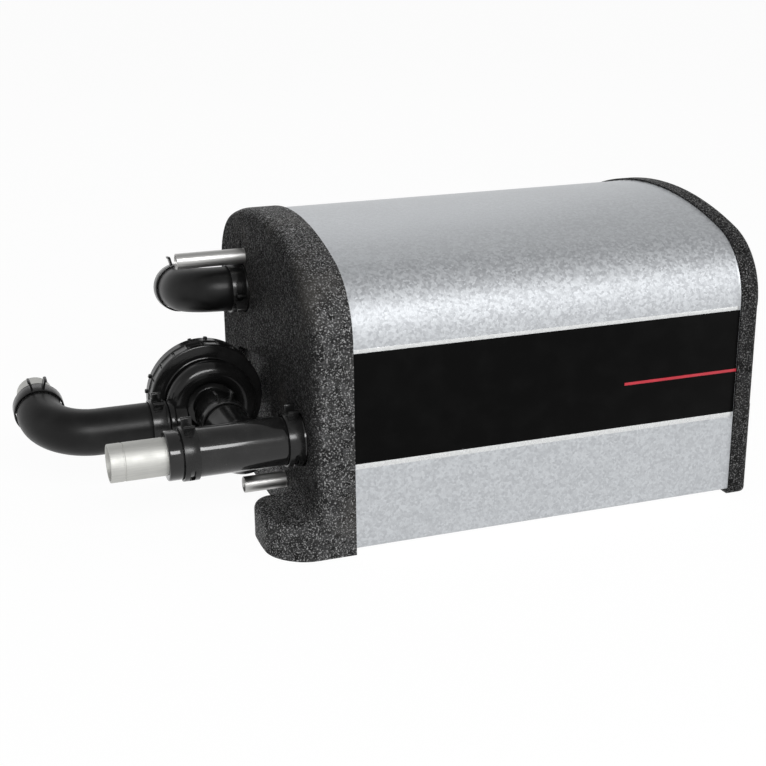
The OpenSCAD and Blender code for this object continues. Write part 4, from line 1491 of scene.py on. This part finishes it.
    def build_tee(self) -> Object:
        """Glossy tee: its run and branch flow into each other."""
        along_x = along((0, *self.run), Axis.X.vector, Axis.Z.vector)
        along_y = along((self.pump.x, 0, self.pump.z), Axis.Y.vector, Axis.Z.vector)
        low, high = self.tee.low, self.tee.high
        run_y = self.run[0]
        parts = [
            placed(rod(self.hose_r + self.tee_spare, low.x, high.x), along_x),
            placed(rod(self.branch_r + self.tee_spare, run_y, high.y), along_y),
        ]
        skin = even_skin(parts, self.tee_skin)
        settle(skin, self.tee_form)
        bores = [
            placed(rod(self.waterway_r, low.x - PAST, high.x + PAST), along_x),
            placed(rod(self.socket_r, low.x - PAST, low.x + self.grip), along_x),
            placed(rod(self.socket_r, high.x - self.grip, high.x + PAST), along_x),
            placed(rod(self.branch_bore, run_y, high.y + PAST), along_y),
            placed(rod(self.socket_r, high.y - self.inlet_grip, high.y + PAST), along_y),
        ]
        bm = carve(skin, [(Cut.REMOVE, bore) for bore in bores])
        return finish_piece("return_tee_moulding", bm, TEE_RUBBER, "return_tee_hose", smooth=0.8)

    def clamp_frame(self, x: float, y: float, z: float, turn: float) -> Matrix:
        """Frame of a clamp on a hose along X, its tangs turned from straight up, in degrees."""
        upright = along((0, 0, 0), Axis.X.vector, Axis.Z.vector)
        return Matrix.Translation((x, y, z)) @ Matrix.Rotation(math.radians(turn), 4, "X") @ upright

    def build_clamps(self) -> None:
        """The seven clamps."""
        flow, outlet = self.flow_path(), self.outlet_path()
        mouth = self.mouth_x - self.clamp_back
        pump_end = outlet.start[0] - self.outlet_clamp_back
        inlet = (self.pump.x, self.tee.high.y - self.inlet_clamp_back, self.pump.z)
        places = {
            "return_pipe_clamp": self.clamp_frame(self.tee_clamp_x, *self.run, 12),
            "return_spigot_clamp": self.clamp_frame(mouth, *self.run, 8),
            "flow_spigot_clamp": self.clamp_frame(mouth, *flow.start[1:], 105),
            "flow_pipe_clamp": flow.at(flow.length - self.clamp_back),
            "pump_outlet_clamp": self.clamp_frame(pump_end, *outlet.start[1:], 20),
            "outlet_pipe_clamp": outlet.at(outlet.length - self.clamp_back),
            "pump_inlet_clamp": along(inlet, -Axis.Y.vector, Axis.Z.vector),
        }
        for node, place in places.items():
            radius = self.branch_r if node == "pump_inlet_clamp" else self.hose_r
            slot_at = self.low_slot if node == "flow_spigot_clamp" else self.front_slot
            HoseClamp(node, place, radius, slot_at).build()

    def build(self) -> None:
        """Everything in front of the cap, apart from the pump."""
        self.build_tee()
        self.bent_hose("flow_hose_moulding", self.flow_path(), self.clamp_back, "flow_hose")
        self.bent_hose("outlet_hose_moulding", self.outlet_path(), self.outlet_clamp_back, "outlet_hose")
        self.build_pipes()
        self.build_clamps()


@dataclass
class CirculationPump:
    """Outside of the pump: volute, lock ring and motor."""

    axis: Vector
    ring_r: float = 36.0
    ring_w: float = 16.0
    ring_wall: float = 4.0
    ring_lip: float = 2.0
    lip_r: float = 27.2
    bevel: float = 1.2
    windows: int = 22
    window: Span = (9.2, 7.5)
    window_rim: float = 0.75
    window_s: float = -4.95
    window_t: float = 1.2
    window_depth: float = 0.55
    window_edge: float = 0.15
    window_sunk: float = 0.3
    band_depth: float = 0.9
    bead: float = 0.35
    lug: float = 2.4
    lug_up: float = 1.0
    lug_edge: float = 0.4
    lug_pairs: int = 5
    lug_turn: float = math.radians(92)
    lug_spread: float = math.radians(8)
    flange_r: float = 31.6
    flange_t: float = 3.0
    tabs: int = 6
    tab_turn: float = math.radians(15)
    tab_w: float = 8.0
    tab_in: float = 1.5
    tab_sunk: float = 2.0
    tab_top: float = -11.5
    tab_edge: float = 0.3
    volute_r: float = 26.0
    volute_h: float = 13.0
    channel_r: float = 22.0
    channel_t: float = 7.0
    ridge_drop: float = 0.5
    groove_drop: float = 3.0
    chamber_r: float = 21.5
    chamber_top: float = 8.0
    channel_bore: float = 4.5
    pipe_r: float = 11.0
    inlet_tip: float = 58.5
    inlet_bore: float = 8.8
    outlet_root: float = 4.0
    outlet_bore: float = 8.4
    bore_from: float = 2.0
    tip_in: float = 0.5
    tip_back: float = 0.8
    collar_r: float = 13.95
    collar_end: float = 29.2
    collar_l: float = 4.2
    spigot_l: float = 26.0
    hub_r: float = 4.5
    hub: Span = (8.6, 13.0)
    hub_wall: float = 1.0
    shaft_hole: float = 2.65
    ribs: int = 3
    rib_w: float = 2.0
    rib_inset: float = 0.6
    rib_end: float = 1.2
    motor_r: float = 22.0
    motor_wall: float = 2.6
    motor_l: float = 43.0
    housing_s: float = -6.2
    housing_flange: float = 5.0
    cover_t: float = 3.8
    cover_rim: Span = (2.8, 3.0)
    posts: int = 3
    post_r: float = 2.4
    post_at: float = 0.62
    post_top: float = -36.75
    grommet_r: float = 4.0
    lead_r: float = 1.8

    @property
    def place(self) -> Matrix:
        """Pump's own frame: local Z towards the inlet, local Y up."""
        return along(self.axis, -Axis.Y.vector, Axis.Z.vector)

    def moulded(self, node: str, bm: BMesh, smooth: float = 0.5) -> Object:
        """Piece of the pump's plastic, taken from the pump's frame to its place."""
        return finish_piece(f"{node}_moulding", placed(bm, self.place), PUMP_PLASTIC, node, smooth=smooth)

    def volute_profile(self) -> list[Span]:
        """Section of the volute, from the inlet's bore round its outside and back through the chamber."""
        face, pipe, flange = self.volute_h, self.pipe_r, self.flange_r
        middle = face - self.ridge_drop
        start = math.pi - math.asin((face - middle) / self.channel_t)
        end = -math.acos((self.volute_r - self.channel_r) / self.channel_t)
        ridge = arc_points((self.channel_r, middle), self.channel_t, start, end)
        base = face - self.groove_drop
        start = -math.acos((self.chamber_r - self.channel_r) / self.channel_bore)
        end = math.pi - math.asin((self.chamber_top - base) / self.channel_bore)
        groove = arc_points((self.channel_r, base), self.channel_bore, start, end)
        return [
            (self.inlet_bore, self.inlet_tip), (pipe - self.tip_in, self.inlet_tip),
            (pipe, self.inlet_tip - self.tip_back), (pipe, face + 1.2), (pipe + 0.35, face + 0.35),
            (pipe + 1.2, face), *ridge, (self.volute_r, 1.0), (self.volute_r + 1.0, 0.0),
            (flange - 0.4, 0.0), (flange, -0.4), (flange, -self.flange_t), (self.chamber_r, -self.flange_t),
            *groove, (self.inlet_bore, self.chamber_top),
        ]

    def build_volute(self) -> Object:
        """Volute with its round channel, its inlet and its outlet."""
        sideways = along((0, -OUTLET_DROP, OUTLET_S), -Axis.X.vector, Axis.Y.vector)
        outer, end = self.collar_r, self.collar_end
        start = end - self.collar_l
        collar = lathe([
            (0.0, start), (outer - 1.0, start), (outer - 0.3, start + 0.3), (outer, start + 1.0),
            (outer, end - 0.8), (outer - 0.25, end - 0.25), (outer - 0.8, end), (0.0, end),
        ])
        root, tip = self.channel_r - self.outlet_root, end + self.spigot_l
        spigot = lathe([
            (0.0, root), (self.pipe_r, root), (self.pipe_r, tip - self.tip_back),
            (self.pipe_r - self.tip_in, tip), (0.0, tip),
        ])
        bore = rod(self.outlet_bore, root + self.bore_from, tip + PAST)
        steps = [
            (Cut.ADD, placed(collar, sideways)), (Cut.ADD, placed(spigot, sideways)),
            (Cut.REMOVE, placed(bore, sideways)),
        ]
        low, high = self.hub
        half, inset = self.rib_w / 2, self.rib_inset
        for turn in around(self.ribs, math.pi / 6):
            rib = block((0, -half, low + inset), (self.pipe_r - self.rib_end, half, high - inset))
            steps.append((Cut.ADD, placed(rib, turn)))
        steps += [
            (Cut.ADD, rod(self.hub_r, low, high, 32)),
            (Cut.REMOVE, rod(self.shaft_hole, low - PAST, high - self.hub_wall, 32)),
        ]
        return self.moulded("pump_volute", carve(lathe(self.volute_profile(), 96), steps), 0.55)

    def window_frame(self, turn: float) -> BMesh:
        """One window with a thin raised frame, in the band round the ring's rim.

        Args:
            turn: Its place round the ring, in radians.

        Returns:
            The frame.
        """
        length, width = self.window
        bm = block((-length / 2, -width / 2, -self.window_t), (length / 2, width / 2, 0.0))
        top = max(bm.faces, key=lambda face: face.calc_center_median().z)
        bmesh.ops.inset_region(bm, faces=[top], thickness=self.window_rim, use_even_offset=True)
        bmesh.ops.translate(bm, verts=top.verts[:], vec=(0, 0, -self.window_depth))
        soften(bm, self.window_edge)
        rim = Matrix.Translation((0, self.ring_r - self.window_sunk, self.window_s))
        outwards = rim @ Matrix.Rotation(-QUARTER, 4, "X")
        return placed(bm, Matrix.Rotation(turn, 4, "Z") @ outwards)

    def build_ring(self) -> Object:
        """Lock ring with the row of windows round its rim, its lugs and its tabs."""
        top, foot = SEAT + self.ring_lip, -self.ring_w
        lip, outer, inner = self.lip_r, self.ring_r, self.ring_r - self.ring_wall
        bead, crown = self.bead, top + (1 - ROUND) * self.bead
        part = ROUND * self.bevel
        upper, lower = (self.window_s + side * (self.window[1] / 2 + 0.5) for side in (1, -1))
        floor = outer - self.band_depth
        parts = [lathe([
            (lip, SEAT), (lip, top), (lip + ROUND * bead, crown), (lip + bead, top + bead),
            (lip + 2 * bead, crown), (lip + 3 * bead, top), (outer - self.bevel, top),
            (outer - part, top - part), (outer, top - self.bevel), (outer, upper), (floor, upper - 0.2),
            (floor, lower + 0.2), (outer, lower), (outer, 0.4 - self.ring_w), (outer - 0.4, foot),
            (inner, foot), (inner, SEAT),
        ], 96)]
        for index in range(self.windows):
            parts.append(self.window_frame(FULL_TURN * (index + 0.5) / self.windows))
        half, low = self.lug / 2, self.lug_up - self.ring_w
        for index in range(self.lug_pairs):
            for side in (-1, 1):
                lug = block((outer - half, -half, low), (outer + half, half, low + self.lug))
                soften(lug, self.lug_edge)
                turn = self.lug_turn + FULL_TURN * index / self.lug_pairs + side * self.lug_spread
                parts.append(placed(lug, Matrix.Rotation(turn, 4, "Z")))
        half = self.tab_w / 2
        for turn in around(self.tabs, self.tab_turn):
            low, high = self.flange_r - self.tab_in, outer - self.tab_sunk
            tab = block((low, -half, foot), (high, half, self.tab_top))
            soften(tab, self.tab_edge, 1)
            parts.append(placed(tab, turn))
        return self.moulded("lock_ring", merged(parts))

    def build_motor(self) -> None:
        """Motor housing, its cover and the lead's grommet."""
        outer, bore = self.motor_r, self.motor_r - self.motor_wall
        low, soft = -self.motor_l, 0.8
        flange, flange_r, seat = self.housing_s - self.housing_flange, self.flange_r, self.housing_s
        self.moulded("motor_housing", lathe([
            (bore, low), (outer, low), (outer, flange - 2.0), (outer + 0.6, flange - 0.6),
            (outer + 2.0, flange), (flange_r - soft, flange), (flange_r, flange + soft),
            (flange_r, seat - soft), (flange_r - soft, seat), (bore, seat),
        ], 96))
        cover_s = low - FIT
        back = cover_s - self.cover_t
        spigot = bore - FIT
        rim_w, rim_l = self.cover_rim
        cover = lathe([
            (0.0, back), (outer - 2.0, back), (outer - 0.6, back + 0.6), (outer, back + 2.0),
            (outer, cover_s), (spigot, cover_s), (spigot, cover_s + rim_l), (spigot - rim_w, cover_s + rim_l),
            (spigot - rim_w, cover_s), (0.0, cover_s),
        ], 96)
        steps = []
        for turn in around(self.posts, math.pi / 3):
            post = rod(self.post_r, cover_s - 0.5, self.post_top, 24)
            steps.append((Cut.ADD, placed(post, turn @ Matrix.Translation((self.post_at * outer, 0, 0)))))
        lead = Matrix.Translation((0, outer / 3, 0))
        hole = rod(self.grommet_r + FIT, back - PAST, cover_s + PAST, 40)
        steps.append((Cut.REMOVE, placed(hole, lead)))
        self.moulded("motor_cover", carve(cover, steps))
        body = self.grommet_r
        grommet = lathe([
            (0.0, cover_s + 1.5), (body + 0.8, cover_s + 1.5), (body + 1.2, cover_s + 1.1),
            (body + 1.2, cover_s + FIT), (body, cover_s + FIT), (body, back - FIT), (body + 1.8, back - FIT),
            (body + 1.8, back - 1.4), (body + 1.2, back - 2), (body, back - 2), (body - 0.3, back - 3.5),
            (body - 0.8, back - 4), (self.lead_r, back - 4), (self.lead_r, cover_s - 1), (0.0, cover_s - 1),
        ], 40)
        grommet = placed(grommet, self.place @ lead)
        finish_piece("lead_grommet_moulding", grommet, SEAL_RUBBER, "lead_grommet", smooth=0.5)

    def build(self) -> None:
        """Whole outside of the pump."""
        self.build_volute()
        self.build_ring()
        self.build_motor()


@dataclass
class Studio:
    """Camera at the photograph's angle, a pale floor and soft light."""

    camera_place: Point = (-0.2193, -0.8162, 0.3550)
    camera_right: Point = (0.94214, -0.33507, -0.01011)
    camera_up: Point = (0.11570, 0.29672, 0.94793)
    camera_back: Point = (-0.31462, -0.89425, 0.31832)
    lens: float = 65.94
    sensor: float = 36.0
    target: Point = (0.07, 0.0, 0.08)
    floor_r: float = 30.0
    floor_tone: Tone = neutral(0.80)
    floor_white: float = 0.93
    floor_glow: float = 1.035
    ambient: float = 0.15
    zenith: float = 0.50

    def build(self) -> None:
        """Sets up the whole studio."""
        self.build_camera()
        self.build_floor()
        self.build_world()
        self.lamp("front_softbox", (-0.15, -1.75, 1.10), (1.1, 0.50), 27.0)
        self.lamp("right_panel", (1.7, -1.1, 0.7), (0.9, 1.2), 6.0)
        self.lamp("left_panel", (-1.8, -0.2, 0.8), (0.8, 1.2), 1.0)
        self.lamp("back_panel", (0.3, 1.7, 1.2), (1.6, 0.6), 2.0)
        bpy.context.scene.view_settings.view_transform = "Standard"

    def build_camera(self) -> None:
        """Camera that was fitted to the casing's edges."""
        data = bpy.data.cameras.new("camera")
        data.lens = self.lens
        data.sensor_width = self.sensor
        data.clip_start = 0.01
        camera = bpy.data.objects.new("camera", data)
        turn = Matrix((self.camera_right, self.camera_up, self.camera_back)).transposed()
        camera.matrix_world = Matrix.Translation(self.camera_place) @ turn.to_4x4()
        bpy.context.scene.collection.objects.link(camera)
        bpy.context.scene.camera = camera

    def seen_directly(self, graph: Graph) -> NodeSocket:
        """1 for rays that show the background itself, 0 for rays that only light the object."""
        path = graph.node("ShaderNodeLightPath", {})
        seen = path.outputs["Is Camera Ray"]
        for name in ("Is Glossy Ray", "Is Transmission Ray"):
            seen = graph.combine("MAXIMUM", seen, path.outputs[name])
        return seen

    def build_floor(self) -> None:
        """Large pale floor that shows white and keeps a soft shadow."""
        bm = bmesh.new()
        bmesh.ops.create_circle(bm, cap_ends=True, segments=96, radius=self.floor_r)
        mesh = bpy.data.meshes.new("floor")
        bm.to_mesh(mesh)
        bm.free()
        material = bpy.data.materials.new("floor_white")
        graph = Graph(material)
        graph.set(Base_Color=(*self.floor_tone, 1.0), Roughness=0.9, Specular_IOR_Level=0.0)
        glow = graph.node("ShaderNodeEmission", {"Strength": self.floor_glow}).outputs[0]
        share = graph.combine("MULTIPLY", self.seen_directly(graph), self.floor_white)
        mix = graph.node("ShaderNodeMixShader", {0: share, 1: graph.shader.outputs[0], 2: glow})
        graph.feed(graph.tree.nodes["Material Output"].inputs["Surface"], mix.outputs[0])
        mesh.materials.append(material)
        floor = bpy.data.objects.new("floor", mesh)
        bpy.context.scene.collection.objects.link(floor)

    def build_world(self) -> None:
        """White surroundings that turn grey overhead, and lower when they only light the object."""
        world = bpy.data.worlds.new("studio")
        bpy.context.scene.world = world
        graph = Graph(world, "Background")
        height = graph.node("ShaderNodeSeparateXYZ", {"Vector": graph.direction}).outputs["Z"]
        graph.set(
            Color=graph.fit(height, (0.05, 0.95), (1.0, self.zenith)),
            Strength=graph.fit(self.seen_directly(graph), WHOLE, (self.ambient, 1.0)),
        )

    def lamp(self, name: str, place: Point, size: Span, power: float) -> None:
        """Soft panel that points at the object.

        Args:
            name: Name of the lamp.
            place: Where it stands, in metres.
            size: Its width and height, in metres.
            power: Its power, in watts.
        """
        data = bpy.data.lights.new(name, "AREA")
        data.shape = "RECTANGLE"
        data.size, data.size_y = size
        data.energy = power
        lamp = bpy.data.objects.new(name, data)
        way = Vector(self.target) - Vector(place)
        lamp.matrix_world = Matrix.Translation(place) @ way.to_track_quat("-Z", "Y").to_matrix().to_4x4()
        bpy.context.scene.collection.objects.link(lamp)


@dataclass
class InnerParts:
    """Nodes that stay as they are: the pieces inside the casing and the pump."""

    finishes: dict[str, Finish] = field(default_factory=lambda: {
        "vessel_shell": STAINLESS, "vessel_front_plate": STAINLESS, "vessel_rear_plate": STAINLESS,
        "water_coil": STAINLESS, "coil_support": STAINLESS, "flow_spigot": PIPE_ALLOY,
        "return_spigot": PIPE_ALLOY, "temperature_sensor": BRASS, "volute_seal": SEAL_RUBBER,
        "isolating_can": PUMP_PLASTIC, "rotor_shaft": CERAMIC, "thrust_washer": CARBON, "impeller": CARBON,
        "rotor_magnet": FERRITE, "rotor_bush": CARBON, "stator_core": CORE_STEEL, "stator_windings": COPPER,
        "control_board": BOARD,
    })

    def dress(self) -> None:
        """Gives every shown node its finish."""
        for name, finish in self.finishes.items():
            node = frame["nodes"][name]
            node.data.materials.clear()
            node.data.materials.append(finish.material())


def main() -> None:
    """Builds the pieces in order."""
    logging.basicConfig(level=logging.INFO, format="%(name)s %(message)s")
    arch = Arch.from_frame()
    pump_axis = Vector(frame["joints"][0]["pos_m"]) / MM
    Studio().build()
    caps = FoamCaps(arch, pump_axis)
    caps.build_front()
    caps.build_rear()
    casing = Casing(arch)
    casing.build_sheet()
    casing.build_label()
    casing.build_rivets()
    Pipework(pump_axis, caps.face_x).build()
    CirculationPump(pump_axis).build()
    InnerParts().dress()


if __name__ == "__main__":
    main()
